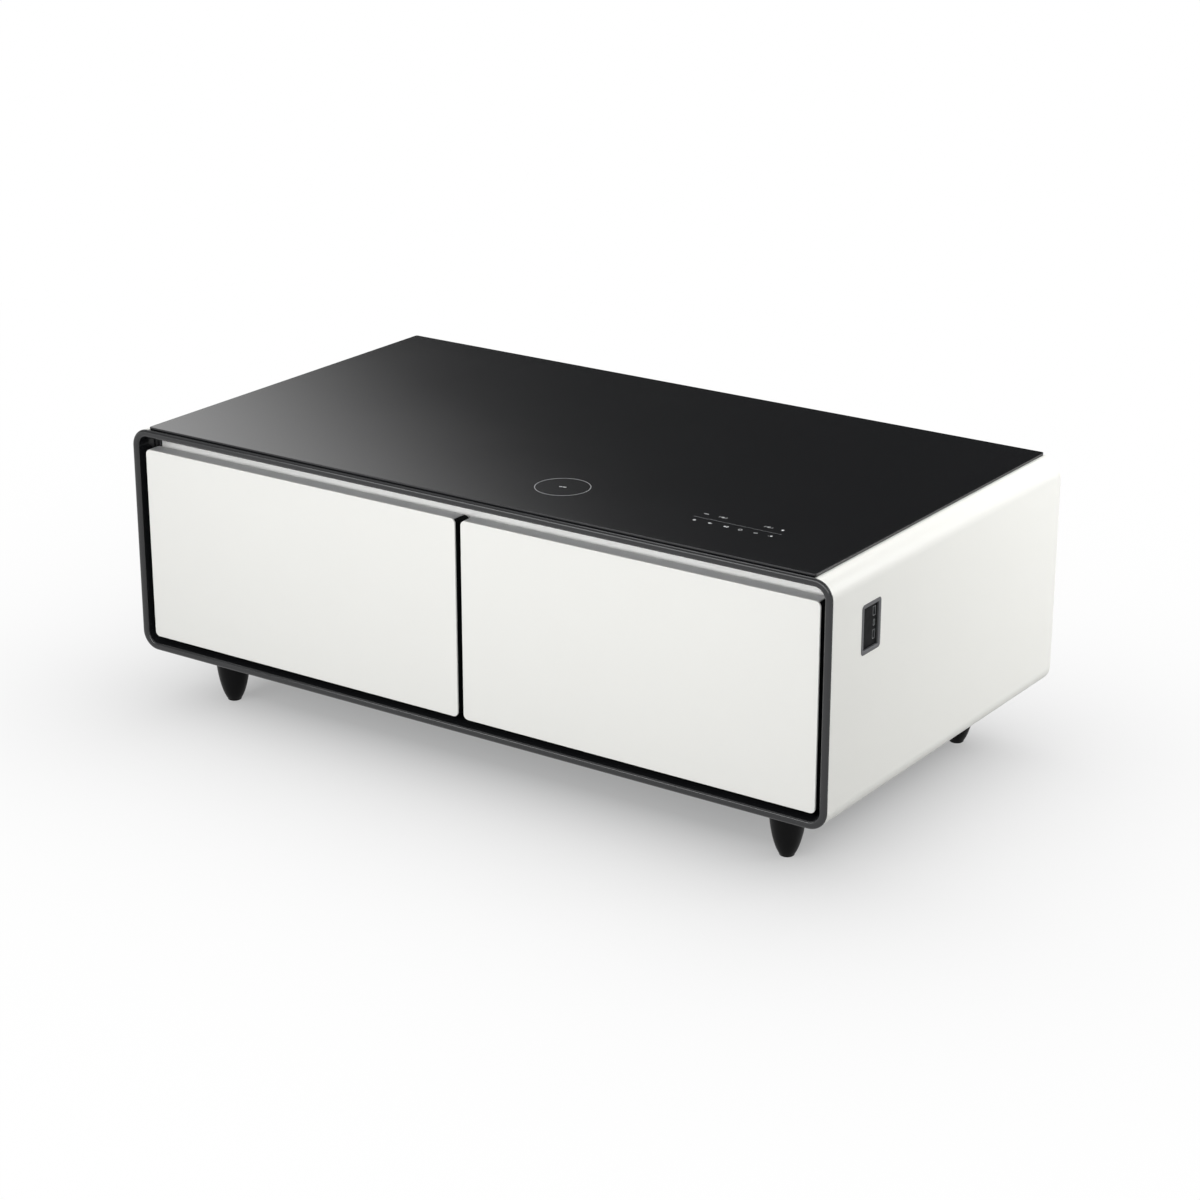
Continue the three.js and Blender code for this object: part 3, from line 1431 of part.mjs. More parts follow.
function addCooling() {
  placed(table, 'condenser', condenser(), blackEnamel);
  placed(table, 'fan_shroud', fanShroud(), blackPlastic);
  placed(table, 'condenser_fan', fanWheel(), blackPlastic, fanX(), machineRoomY, fanZ());
  placed(table, 'compressor', compressor(), blackEnamel, compressorX(), machineRoomY, machineFloor);
  placed(table, 'drip_tray', dripTray(), linerPlastic, compressorX(), machineRoomY);
  placed(table, 'discharge_line', dischargeLine(), copper);
  placed(table, 'suction_line', suctionLine(), copper);
}

addBody();
addLegs();
addCompartment('left', -headX);
addCompartment('right', headX);
addElectronics();
addCooling();

export default table;
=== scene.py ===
"""Looks of the refrigerator coffee table: fine surfaces, finishes and a plain studio round the packed frame.

Every piece is worked out in metres in the frame's own axes, +X to the right, +Y to the back, +Z up,
and takes its place from the box of the node that it stands for.
"""

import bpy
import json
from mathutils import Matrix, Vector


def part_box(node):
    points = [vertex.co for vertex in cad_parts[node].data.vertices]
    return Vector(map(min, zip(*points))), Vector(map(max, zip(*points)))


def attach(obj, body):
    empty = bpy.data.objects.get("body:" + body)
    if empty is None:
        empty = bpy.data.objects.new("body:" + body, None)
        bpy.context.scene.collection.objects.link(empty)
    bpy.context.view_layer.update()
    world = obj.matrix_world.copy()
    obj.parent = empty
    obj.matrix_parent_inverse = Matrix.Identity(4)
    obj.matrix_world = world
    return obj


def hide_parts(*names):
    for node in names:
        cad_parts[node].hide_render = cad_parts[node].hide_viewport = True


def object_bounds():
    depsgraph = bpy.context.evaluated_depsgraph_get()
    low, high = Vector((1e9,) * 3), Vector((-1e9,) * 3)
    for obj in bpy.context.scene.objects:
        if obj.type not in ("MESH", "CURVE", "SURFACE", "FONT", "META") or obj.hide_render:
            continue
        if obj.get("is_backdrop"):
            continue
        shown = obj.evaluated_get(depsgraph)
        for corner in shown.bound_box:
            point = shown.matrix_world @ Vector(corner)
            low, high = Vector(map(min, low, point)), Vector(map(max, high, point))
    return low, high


bl_info = {
    "name": "Refrigerator coffee table",
    "version": (1, 0, 0),
    "blender": (4, 5, 0),
    "location": "View3D > Sidebar > Table",
    "description": "Makes the visible surfaces, finishes and studio of a refrigerator coffee table",
    "category": "Object",
}

import json
from math import radians

import bpy
import numpy as np
from bpy.props import FloatProperty, FloatVectorProperty, PointerProperty
from mathutils import Vector

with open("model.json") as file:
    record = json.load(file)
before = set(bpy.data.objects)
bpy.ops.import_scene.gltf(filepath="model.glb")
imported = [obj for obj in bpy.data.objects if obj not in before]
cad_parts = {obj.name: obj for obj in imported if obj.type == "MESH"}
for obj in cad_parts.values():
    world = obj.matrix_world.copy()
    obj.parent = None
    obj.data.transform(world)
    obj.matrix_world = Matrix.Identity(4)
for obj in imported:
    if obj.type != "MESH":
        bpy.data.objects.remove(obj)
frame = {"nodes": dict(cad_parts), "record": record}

MM = 0.001
SIDES = ("left", "right")
CORNERS = ("front_left", "front_right", "back_left", "back_right")
SHARP_ANGLE = radians(32)
WHOLE_TURN = 2 * np.pi

# Steps of a quarter corner, of a small rounding and of a whole turn
CORNER_STEPS = 16
EDGE_STEPS = 8
ROUND_STEPS = 72

# Smallest corner radius, gap between seated pieces, and softened edge of a moulding
LEAST_RADIUS = 0.2 * MM
SEAT_GAP = 0.3 * MM
SOFT_EDGE = 1 * MM

# Planes that an outline is drawn in: its two axes, then the axis that it is carried along
FRONT = (0, 2, 1)
TOP = (0, 1, 2)
SIDE = (1, 2, 0)
UPRIGHT = (1, 0, 2)

# Inputs of a Map Range node, in order, and the middle part of a noise that a drift is stretched over
RANGE_INPUTS = ("Value", "From Min", "From Max", "To Min", "To Max")
DRIFT = (0.32, 0.68)


def linear(code):
    """Linear red, green and blue of an sRGB hex colour."""
    channels = np.array([int(code[i:i + 2], 16) for i in (1, 3, 5)]) / 255
    low = channels / 12.92
    high = ((channels + 0.055) / 1.055) ** 2.4
    return tuple(float(value) for value in np.where(channels <= 0.04045, low, high))


def length(name, millimetres, description):
    """A length that the user can change, given in millimetres and kept in metres."""
    return FloatProperty(
        name=name, description=description, default=millimetres * MM, min=0.0, precision=4, unit="LENGTH"
    )


def label(name):
    """A name of this script in words for the user."""
    return name.replace("_", " ").capitalize()


def lengths(**rows):
    """The lengths of a group: its annotations, from the millimetres and the description under each name."""
    return {name: length(label(name), *row) for name, row in rows.items()}


def colour(name, code, description):
    """A colour that the user can change, given as an sRGB hex value and kept linear."""
    return FloatVectorProperty(
        name=name, description=description, default=linear(code), min=0.0, max=1.0, size=3, subtype="COLOR"
    )


def number(name, value, description, **limits):
    """A number that the user can change, from zero up unless its limits say otherwise."""
    return FloatProperty(name=name, description=description, default=value, **{"min": 0.0, **limits})


def watts(name, power, description):
    """The power of a lamp, in watts."""
    return number(name, power, description, unit="POWER")


class FrameSizes(bpy.types.PropertyGroup):
    """Moulded front frame."""
    __annotations__ = lengths(
        corner_radius=(30, "Radius of the frame's outer corners"),
        bead_width=(12, "Width of the bead, seen from the front"),
        bead_depth=(4.5, "How far the bead stands in front of the panels"),
        round_width=(5, "Width of the rounding at each edge of the bead"),
        round_depth=(3.8, "Depth of the rounding at each edge of the bead"),
        skirt_wall=(2.5, "Wall of the skirt behind the bead"),
        landing_thickness=(2.6, "Thickness of the landing for the gaskets"),
    )


class PanelSizes(bpy.types.PropertyGroup):
    """Bent steel panels of the body."""
    __annotations__ = lengths(
        bend_radius=(29.2, "Outer radius of the panel's two bends"),
        wall=(1.6, "Thickness of the painted sheet"),
        top_flange=(36, "Flat part above the upper bend"),
        bottom_flange=(40, "Flat part below the lower bend"),
        flange_notch=(5, "How far the upper flange starts behind the glass's front edge"),
        socket_lap=(3.4, "How far the socket frame covers the panel round its cut-out"),
    )


class GlassSizes(bpy.types.PropertyGroup):
    """Glass top and its printed marks."""
    __annotations__ = lengths(
        corner_radius=(4, "Radius of the glass corners, seen from above"),
        edge_round=(0.8, "Polished rounding of the upper edge"),
        ink=(0.1, "Room left above the glass for the printed marks"),
        ring_line=(0.9, "Width of the ring's line"),
        marks_line=(0.25, "Width of the line between the marks"),
        ring_radius=(42.3, "Radius of the charging ring"),
        marks_from_right=(233, "Middle of the marks, from the case's right side"),
        marks_from_front=(126.4, "Line between the marks, from the case's front"),
        marks_width=(150, "Length of the line between the marks"),
        ring_from_right=(544, "Middle of the ring, from the case's right side"),
        ring_from_front=(130, "Middle of the ring, from the case's front"),
    )


class DrawerSizes(bpy.types.PropertyGroup):
    """Drawer heads, gaskets and bins."""
    __annotations__ = lengths(
        head_radius=(8.5, "Corner radius of the drawer head, seen from the front"),
        edge_round=(0.9, "Rounding of the edges of the front plate and the handle"),
        core_inset=(0.6, "How far the core stands back from the plate's outline"),
        core_round=(4, "Rounding of the core's lower back edge"),
        cheek=(3.4, "Width of the core's end cheeks beside the handle"),
        handle_round=(14, "Radius of the handle's back edge"),
        handle_wall=(2.2, "Wall of the handle section"),
        gasket_width=(17, "Width of the gasket's lips"),
        gasket_waist=(4, "How far the waist stands back from the lips"),
        gasket_lip=(2.1, "Thickness of each lip"),
        gasket_radius=(33.35, "Outer corner radius of the gasket"),
        bin_wall=(2.5, "Wall of the bin"),
        bin_radius=(20, "Upright corner radius of the bin"),
        bin_fillet=(7, "Rounding between the bin's floor and sides"),
        bin_draft=(2.5, "How much the sides lean out from the floor to the ledge"),
        bin_step=(12.3, "Width of the ledge on each side"),
        bin_ledge=(66.4, "Height of the ledge above the bin's floor"),
        bin_rim=(4, "Width of the rim beside the bin"),
        bin_rim_thickness=(3, "Thickness of the rim"),
    )


class InnerSizes(bpy.types.PropertyGroup):
    """Liners, finger channel, legs and socket."""
    __annotations__ = lengths(
        liner_wall=(1.5, "Wall of the liner"),
        liner_flange=(8, "Width of the flange at the liner's mouth"),
        liner_radius=(14, "Corner radius of the liner's mouth"),
        liner_round=(10, "Rounding at the liner's back"),
        strip_wall=(1.4, "Wall of the aluminium strip"),
        leg_foot=(9.5, "Radius of the leg where it meets the floor"),
        leg_foot_round=(2.5, "Rounding at the edge of the foot"),
        stud_radius=(4, "Radius of the leg's stud"),
        stud_length=(2.8, "Height of the stud above the leg"),
        socket_radius=(6, "Corner radius of the socket frame"),
        socket_width=(6.4, "Width of the socket frame, seen from the right"),
        socket_bevel=(2.2, "Width of the socket frame's bevel"),
        port_recess=(2.6, "How far the ports' face lies behind the panel"),
        port_set_back=(12, "How far the ports lie behind the middle of the socket frame"),
        port_rise=(1.9, "How far the middle port lies above the middle of the socket frame"),
        port_pitch=(17.5, "Height from one port to the next"),
        port_width=(7, "Width of the two larger ports"),
        port_height=(13.5, "Height of the two larger ports"),
        small_port_width=(4.4, "Width of the middle port"),
        small_port_height=(9.4, "Height of the middle port"),
        port_wall=(0.4, "Wall of the ports' metal shells"),
    )


class StudioSettings(bpy.types.PropertyGroup):
    """Camera, lamps, dome of light and floor."""
    camera_place: FloatVectorProperty(
        name="Camera place", description="Where the camera stands", default=(2.53907, -3.63065, 1.82355),
        size=3, subtype="TRANSLATION",
    )
    camera_turn: FloatVectorProperty(
        name="Camera turn", description="How the camera is turned",
        default=(radians(69.96), 0.0, radians(34.74)), size=3, subtype="EULER",
    )
    camera_lens: number(
        "Lens", 88.07, "Focal length on a 36 mm sensor, in millimetres", min=1.0, unit="CAMERA"
    )
    dome: number("Dome", 0.57, "Brightness of the white dome overhead")
    horizon: number("Horizon", 0.25, "Brightness of the dome low down")
    panel: number("Panel", 1.6, "Brightness of the white panel at the back left, that the glass shows")
    curtain: number("Curtain", 0.035, "Brightness of the dark curtain at the back, that the glass shows")
    front_lamp: watts("Front lamp", 17.5, "Power of the long lamp in front")
    low_lamp: watts("Low lamp", 1.2, "Power of the low lamp at the front left, that the brushed strip shows")
    side_lamp: watts("Side lamp", 18.5, "Power of the lamp at the back right")
    edge_lamp: watts("Edge lamp", 2.8, "Power of the lamp above the right edge")
    back_lamp: watts("Back lamp", 19, "Power of the large lamp high at the back")
    floor: colour("Floor", "#a6a6a6", "Paint of the floor")
    # The floor glow is painted white light. Under the body it lightens the body's shadow, and its share grows
    # with the distance from the body, which paints a darker halo near the body.
    floor_glow: number("Floor glow", 0.3, "Share of plain white in the floor under the body", max=1.0)
    glow_reach: length("Glow reach", 225, "Way over which the floor turns to plain white")


# Shapes

def corners(node):
    """Lowest and highest corner of a node's box, as arrays."""
    low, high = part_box(node)
    return np.array(low), np.array(high)


def arc(centre, radius, start, end, steps=EDGE_STEPS):
    """Points centre + radius (cos a, sin a), with the angle a running from start to end in degrees."""
    angle = np.radians(np.linspace(start, end, steps + 1))
    return np.asarray(centre) + np.asarray(radius) * np.stack([np.cos(angle), np.sin(angle)], axis=-1)


def rings(low, high, radius, depth, plane, steps=CORNER_STEPS):
    """Rounded rectangles one behind the other, as a grid of rings and points.

    Ring i has the corners low_i and high_i. Its point is P(i, a) = corner centre + radius_i (cos a, sin a)
    in the plane and depth_i across it, where a runs over a quarter turn at each of the four corners.
    """
    depth = np.atleast_1d(depth)
    count = len(depth)
    low = np.broadcast_to(low, (count, 2))[:, None]
    high = np.broadcast_to(high, (count, 2))[:, None]
    radius = np.asarray(radius, dtype=float)
    radius = np.broadcast_to(radius[:, None] if radius.shape == (count,) else radius, (count, 4))[..., None]
    sign = np.array([(1, -1), (1, 1), (-1, 1), (-1, -1)])
    centre = (low + high) / 2 + sign * ((high - low) / 2 - radius)
    angle = np.arange(-1, 3)[:, None] * np.pi / 2 + np.linspace(0, np.pi / 2, steps + 1)
    direction = np.stack([np.cos(angle), np.sin(angle)], axis=-1)
    flat = centre[:, :, None] + radius[..., None] * direction
    grid = np.empty((count, flat.shape[1] * flat.shape[2], 3))
    grid[..., plane[:2]] = flat.reshape(count, -1, 2)
    grid[..., plane[2]] = depth[:, None]
    return grid


def inset_rings(low, high, radius, profile, plane, steps=CORNER_STEPS):
    """Carries a profile of (inset, depth) round a rounded rectangle, whose radius shrinks with the inset."""
    inset, depth = np.asarray(profile).T
    low = np.asarray(low) + inset[:, None]
    high = np.asarray(high) - inset[:, None]
    return rings(low, high, np.maximum(radius - inset, LEAST_RADIUS), depth, plane, steps)


def turned(profile, x, y, steps=ROUND_STEPS):
    """Turns a profile of (radius, height) about an upright axis: P(i, a) = (x + r cos a, y + r sin a, z)."""
    radius, height = np.asarray(profile).T
    angle = np.arange(steps) * WHOLE_TURN / steps
    grid = np.empty((len(radius), steps, 3))
    grid[..., 0] = x + radius[:, None] * np.cos(angle)
    grid[..., 1] = y + radius[:, None] * np.sin(angle)
    grid[..., 2] = height[:, None]
    return grid


def carried(loop, stations, low, high, axes):
    """Carries a closed loop along a line: P(s, t) = (u(t), v(t) held between low(s) and high(s), s)."""
    grid = np.empty((len(stations), len(loop), 3))
    grid[..., axes[0]] = loop[:, 0]
    grid[..., axes[1]] = np.clip(loop[:, 1], low[:, None], high[:, None])
    grid[..., axes[2]] = stations[:, None]
    return grid


def corner_drop(place, end, radius):
    """How far a rounded corner has fallen at a place: r - sqrt(r^2 - d^2), d the way past its centre."""
    past = np.clip(np.abs(place) - (end - radius), 0, radius)
    return radius - np.sqrt(radius ** 2 - past ** 2)


def volume(points, faces):
    """Signed volume inside a closed mesh, by the divergence theorem over fans of triangles."""
    total = 0.0
    for face in faces:
        first = points[face[:, :1]]
        total += np.sum(first * np.cross(points[face[:, 1:-1]], points[face[:, 2:]]))
    return total / 6


def outward(points, faces):
    """The same shell with its faces pointing out."""
    if volume(points, faces) < 0:
        faces = [face[:, ::-1] for face in faces]
    return points, faces


def shell(grid, closed=False):
    """Closed shell over a grid whose columns join up. Its rows join up too, or end in flat caps."""
    rows, columns = grid.shape[:2]
    index = np.arange(rows * columns).reshape(rows, columns)
    this = index if closed else index[:-1]
    following = np.roll(index, -1, axis=0) if closed else index[1:]
    quads = np.stack([this, np.roll(this, -1, 1), np.roll(following, -1, 1), following], axis=-1)
    faces = [quads.reshape(-1, 4)]
    if not closed:
        faces += [index[:1, ::-1], index[-1:]]
    return outward(grid.reshape(-1, 3), faces)


def sheet(outer, inner, kept=None):
    """Shell between two grids of equal size: both faces of each kept cell, and a wall at each free edge."""
    rows, columns = outer.shape[:2]
    total = rows * columns
    index = np.arange(total).reshape(rows, columns)
    if kept is None:
        kept = np.ones((rows - 1, columns - 1), dtype=bool)
    cells = np.stack([index[:-1, :-1], index[:-1, 1:], index[1:, 1:], index[1:, :-1]], axis=-1)[kept]
    around = np.pad(kept, 1)
    above, below = around[:-1, 1:-1], around[1:, 1:-1]
    before, after = around[1:-1, :-1], around[1:-1, 1:]
    across = np.stack([index[:, :-1], index[:, 1:]], axis=-1)
    along = np.stack([index[:-1], index[1:]], axis=-1)
    edges = np.concatenate([
        across[below & ~above], across[above & ~below][:, ::-1],
        along[before & ~after], along[after & ~before][:, ::-1],
    ])
    walls = np.concatenate([edges[:, ::-1], edges + total], axis=1)
    points = np.concatenate([outer.reshape(-1, 3), inner.reshape(-1, 3)])
    return outward(points, [cells, cells[:, ::-1] + total, walls])


def stroke(path, width, low, high, closed=False):
    """Flat printed line: a rectangle carried along a path, half its width out along the path's normal."""
    ahead = np.roll(path, -1, axis=0) - np.roll(path, 1, axis=0) if closed else np.gradient(path, axis=0)
    ahead = ahead / np.linalg.norm(ahead, axis=1, keepdims=True)
    normal = np.stack([-ahead[:, 1], ahead[:, 0]], axis=-1) * width / 2
    grid = np.empty((len(path), 4, 3))
    grid[:, (0, 3), :2] = (path + normal)[:, None]
    grid[:, (1, 2), :2] = (path - normal)[:, None]
    grid[:, :2, 2] = low
    grid[:, 2:, 2] = high
    return shell(grid, closed)


def add_piece(name, shells, slot, body, *nodes):
    """Joins closed shells into one object, gives it its finish and ties it to the frame."""
    starts = np.cumsum([0] + [len(points) for points, _ in shells])
    points = np.concatenate([points for points, _ in shells])
    faces = [face + start for start, (_, group) in zip(starts, shells) for face in group]
    loops = np.concatenate([face.ravel() for face in faces])
    sizes = np.concatenate([np.full(len(face), face.shape[1]) for face in faces])
    mesh = bpy.data.meshes.new(name)
    mesh.vertices.add(len(points))
    mesh.vertices.foreach_set("co", points.astype(np.float32).ravel())
    mesh.loops.add(len(loops))
    mesh.loops.foreach_set("vertex_index", loops.astype(np.int32))
    mesh.polygons.add(len(sizes))
    mesh.polygons.foreach_set("loop_start", (np.cumsum(sizes) - sizes).astype(np.int32))
    mesh.update(calc_edges=True)
    mesh.validate()
    mesh.shade_smooth()
    mesh.set_sharp_from_angle(angle=SHARP_ANGLE)
    piece = bpy.data.objects.new(name, mesh)
    bpy.context.scene.collection.objects.link(piece)
    weighted = piece.modifiers.new("Even shading", "WEIGHTED_NORMAL")
    weighted.keep_sharp = True
    weighted.weight = 100
    mesh.materials.append(finish(slot))
    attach(piece, body)
    if nodes:
        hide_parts(*nodes)
    return piece


# Materials


def add_node(tree, kind, inputs=(), **settings):
    """Adds a node with its settings. Each of its inputs is linked to a socket or set to a value."""
    node = tree.nodes.new(kind)
    for key, value in settings.items():
        setattr(node, key, value)
    for key, value in dict(inputs).items():
        if isinstance(value, bpy.types.NodeSocket):
            tree.links.new(value, node.inputs[key])
        else:
            node.inputs[key].default_value = value
    return node


class Coat:
    """A material in the making: one Principled shader, with patterns laid over it in Object coordinates."""

    def __init__(self, name, tint, roughness, metallic=0.0, ior=1.5, **sockets):
        self.material = bpy.data.materials.new(name)
        self.material.use_nodes = True
        self.tree = self.material.node_tree
        self.shader = self.tree.nodes["Principled BSDF"]
        self.tint, self.roughness = tint, roughness
        self.place = add_node(self.tree, "ShaderNodeTexCoord").outputs["Object"]
        inputs = self.shader.inputs
        inputs["Base Color"].default_value = (*tint, 1.0)
        inputs["Roughness"].default_value = roughness
        inputs["Metallic"].default_value = metallic
        inputs["IOR"].default_value = ior
        for socket, value in sockets.items():
            inputs[socket.replace("_", " ")].default_value = value

    def vary(self, spacing, detail=2.0, tone=0.0, gloss=0.0, relief=0.0, pattern=None):
        """Lets a pattern drift through the finish: tone by a share of the colour, gloss by a step of the
        roughness, relief by a depth in millimetres.

        The pattern is a noise whose features lie the spacing apart, in millimetres, as one number or one for
        each axis, unless another pattern is given. Its middle is stretched to the whole drift.
        """
        if pattern is None:
            scale = [1 / (value * MM) for value in np.broadcast_to(spacing, 3)]
            inputs = {"Vector": self.place, "Scale": scale}
            place = add_node(self.tree, "ShaderNodeMapping", inputs).outputs["Vector"]
            inputs = {"Vector": place, "Scale": 1.0, "Detail": detail}
            pattern = add_node(self.tree, "ShaderNodeTexNoise", inputs).outputs["Fac"]
        if tone:
            inputs = zip(RANGE_INPUTS, (pattern, *DRIFT, 1 - tone, 1 + tone))
            share = add_node(self.tree, "ShaderNodeMapRange", inputs, clamp=False).outputs["Result"]
            inputs = {0: self.tint, "Scale": share}
            shade = add_node(self.tree, "ShaderNodeVectorMath", inputs, operation="SCALE").outputs["Vector"]
            self.tree.links.new(shade, self.shader.inputs["Base Color"])
        if gloss:
            inputs = zip(RANGE_INPUTS, (pattern, *DRIFT, self.roughness - gloss, self.roughness + gloss))
            value = add_node(self.tree, "ShaderNodeMapRange", inputs, clamp=False).outputs["Result"]
            self.tree.links.new(value, self.shader.inputs["Roughness"])
        if relief:
            inputs = {"Height": pattern, "Distance": relief * MM, "Strength": 1.0}
            normal = add_node(self.tree, "ShaderNodeBump", inputs).outputs["Normal"]
            self.tree.links.new(normal, self.shader.inputs["Normal"])
        return self


# Function of each material and the property that holds its colour, by slot
COATS = {}
TINTS = {}


def tinted(code):
    """Lists a material under its slot, with its sRGB hex colour. Its docstring describes the colour too."""
    def listed(maker):
        slot = maker.__name__
        COATS[slot] = maker
        TINTS[slot] = colour(label(slot), code, " ".join(maker.__doc__.split()))
        return maker
    return listed


@tinted("#101113")
def black_glass(tint):
    """Tempered glass with black ceramic print behind it: deep black, with a soft, even reflection."""
    coat = Coat("Black printed tempered glass", tint, 0.12, ior=1.52)
    coat.vary(160, gloss=0.003)
    return coat.vary(120, detail=1.0, relief=0.002)


@tinted("#eeeee9")
def white_enamel(tint):
    """Powder-coated steel: an even white with a faint orange peel of about a millimetre."""
    coat = Coat("White powder-coated steel", tint, 0.42)
    coat.vary(220, tone=0.003)
    coat.vary(60, gloss=0.015)
    return coat.vary(1.4, detail=1.0, relief=0.003)


@tinted("#e6e6e2")
def white_sheet(tint):
    """Coil-coated rear sheet: white, a little duller than the panels, with rolling marks along its length."""
    coat = Coat("White coil-coated sheet", tint, 0.5)
    coat.vary(180, tone=0.01)
    return coat.vary((40, 1.2, 1.2), relief=0.005)


@tinted("#f4f4f0")
def white_front(tint):
    """Lacquered drawer front: clean white with a soft gloss and a very slight waviness."""
    coat = Coat("White lacquered front plate", tint, 0.34)
    coat.vary(260, tone=0.003)
    coat.vary(90, gloss=0.015)
    return coat.vary(60, detail=1.0, relief=0.004)


@tinted("#1b1c1e")
def black_plastic(tint):
    """Satin moulded ABS: charcoal, with the fine grain of a spark-eroded mould, drawn 0.6 mm coarse
    to show."""
    coat = Coat("Charcoal moulded ABS", tint, 0.2, ior=1.54)
    coat.vary(45, tone=0.02)
    coat.vary(20, gloss=0.02)
    return coat.vary(0.6, detail=1.0, relief=0.0015)


@tinted("#0f1011")
def black_core(tint):
    """Matt moulded ABS of the drawer core: near black, with the same fine grain as the frame."""
    coat = Coat("Black moulded ABS", tint, 0.5, ior=1.54, Specular_IOR_Level=0.05)
    coat.vary(10, gloss=0.05)
    return coat.vary(0.6, detail=1.0, relief=0.006)


@tinted("#070708")
def leg_plastic(tint):
    """Moulded polypropylene legs: black with a low sheen and faint flow marks round the peg."""
    coat = Coat("Black moulded polypropylene", tint, 0.38, ior=1.49, Specular_IOR_Level=0.12)
    coat.vary((14, 14, 4), gloss=0.05)
    return coat.vary(0.8, detail=1.0, relief=0.006)


@tinted("#fafaf8")
def brushed_aluminium(tint):
    """Brushed, clear-anodised aluminium: pale metal whose fine lines along X, drawn 0.5 mm apart to show,
    spread the light up and down."""
    coat = Coat("Brushed anodised aluminium", tint, 0.45, metallic=0.2, Anisotropic=0.8)
    upright = add_node(coat.tree, "ShaderNodeTangent", direction_type="RADIAL", axis="X").outputs["Tangent"]
    coat.tree.links.new(upright, coat.shader.inputs["Tangent"])
    return coat.vary((70, 0.5, 0.5), detail=3.0, tone=0.03, gloss=0.05, relief=0.001)


@tinted("#dcddde")
def grey_aluminium(tint):
    """Grey anodised handle section: satin metal with drawing lines along its length."""
    coat = Coat("Grey anodised aluminium", tint, 0.45, metallic=0.3)
    return coat.vary((120, 0.7, 0.7), detail=3.0, tone=0.03, gloss=0.05, relief=0.001)


@tinted("#a9abad")
def fin_aluminium(tint):
    """Mill-finish fin stock: dull silver, with pressed ripples 3 mm apart."""
    coat = Coat("Mill-finish aluminium fins", tint, 0.48, metallic=1.0)
    coat.vary(20, tone=0.05)
    return coat.vary((40, 3, 3), relief=0.05)


@tinted("#b8babb")
def evaporator_aluminium(tint):
    """Roll-bonded aluminium plate: matt silver with soft clouds left by the rolls."""
    coat = Coat("Roll-bonded aluminium", tint, 0.5, metallic=1.0)
    coat.vary(30, tone=0.06)
    return coat.vary(12, gloss=0.06)


@tinted("#5a5b5d")
def grey_bezel(tint):
    """Satin metallic paint on the socket frame: mid grey with a fine sparkle, drawn 0.8 mm coarse."""
    coat = Coat("Grey metallic paint", tint, 0.5, metallic=0.3)
    coat.vary(0.8, tone=0.05)
    return coat.vary(0.8, detail=1.0, relief=0.006)


@tinted("#b5b8ba")
def slide_steel(tint):
    """Zinc-plated strip steel: cool grey with roll-forming lines along the slide."""
    coat = Coat("Zinc-plated slide steel", tint, 0.32, metallic=1.0)
    coat.vary((3, 60, 3), tone=0.05)
    return coat.vary((1, 90, 1), gloss=0.06)


@tinted("#a6a8aa")
def plate_steel(tint):
    """Pressed, passivated steel plate: grey with a faint cloudy film."""
    coat = Coat("Passivated steel plate", tint, 0.4, metallic=1.0)
    coat.vary(14, tone=0.06)
    return coat.vary(5, gloss=0.06)


@tinted("#9a9ea0")
def galvanised_sheet(tint):
    """Hot-dip galvanised sheet: dull grey zinc with crystal spangles about 9 mm across."""
    coat = Coat("Galvanised sheet", tint, 0.5, metallic=1.0)
    across = 9
    inputs = {"Vector": coat.place, "Scale": 1 / (across * MM)}
    spangle = add_node(coat.tree, "ShaderNodeTexVoronoi", inputs).outputs["Color"]
    grey = add_node(coat.tree, "ShaderNodeRGBToBW", {"Color": spangle}).outputs["Val"]
    return coat.vary(across, tone=0.07, gloss=0.08, pattern=grey)


@tinted("#e8dfba")
def rigid_foam(tint):
    """Rigid polyurethane foam: pale yellow cells about a millimetre across, with patches of darker skin."""
    coat = Coat("Rigid polyurethane foam", tint, 0.9)
    coat.vary(35, detail=4.0, tone=0.07)
    return coat.vary(1.2, detail=3.0, relief=0.3)


@tinted("#2b2c2e")
def deck_board(tint):
    """Black-stained fibreboard: matt, with short felted fibres."""
    coat = Coat("Black fibreboard", tint, 0.75)
    coat.vary((2.5, 2.5, 1.0), detail=4.0, tone=0.15)
    return coat.vary(1.0, detail=3.0, relief=0.04)


@tinted("#eff0ef")
def liner_plastic(tint):
    """Thermoformed polystyrene liner: white, softly glossy, with a stretched waviness."""
    coat = Coat("White thermoformed polystyrene", tint, 0.3, ior=1.59)
    coat.vary(120, tone=0.012)
    return coat.vary(25, detail=1.0, relief=0.03)


@tinted("#e4e8ea")
def bin_plastic(tint):
    """Moulded polystyrene bin: cool white, softly glossy, with a fine satin grain."""
    coat = Coat("Moulded polystyrene bin", tint, 0.28, ior=1.59)
    coat.vary(70, tone=0.012)
    return coat.vary(1.0, detail=1.0, relief=0.008)


@tinted("#8d8f90")
def gasket_rubber(tint):
    """Extruded soft PVC: matt grey, with drawing lines and a dusty bloom."""
    coat = Coat("Soft grey PVC", tint, 0.7, ior=1.53)
    coat.vary(9, detail=3.0, tone=0.06)
    return coat.vary(1.5, relief=0.03)


@tinted("#141516")
def black_enamel(tint):
    """Sprayed black enamel: half gloss, with a shallow orange peel of 2 mm."""
    coat = Coat("Black sprayed enamel", tint, 0.32)
    coat.vary(15, gloss=0.05)
    return coat.vary(2.0, detail=1.0, relief=0.02)


@tinted("#c07c54")
def copper(tint):
    """Drawn copper tube: warm metal that has darkened a little in patches."""
    coat = Coat("Drawn copper", tint, 0.33, metallic=1.0)
    coat.vary(8, detail=4.0, tone=0.12)
    return coat.vary(5, gloss=0.08)


@tinted("#202122")
def coil_module(tint):
    """Potted casing of the charging module: matt black resin with a pebbled surface."""
    coat = Coat("Potted resin", tint, 0.6)
    coat.vary(6, tone=0.08)
    return coat.vary(1.5, relief=0.04)


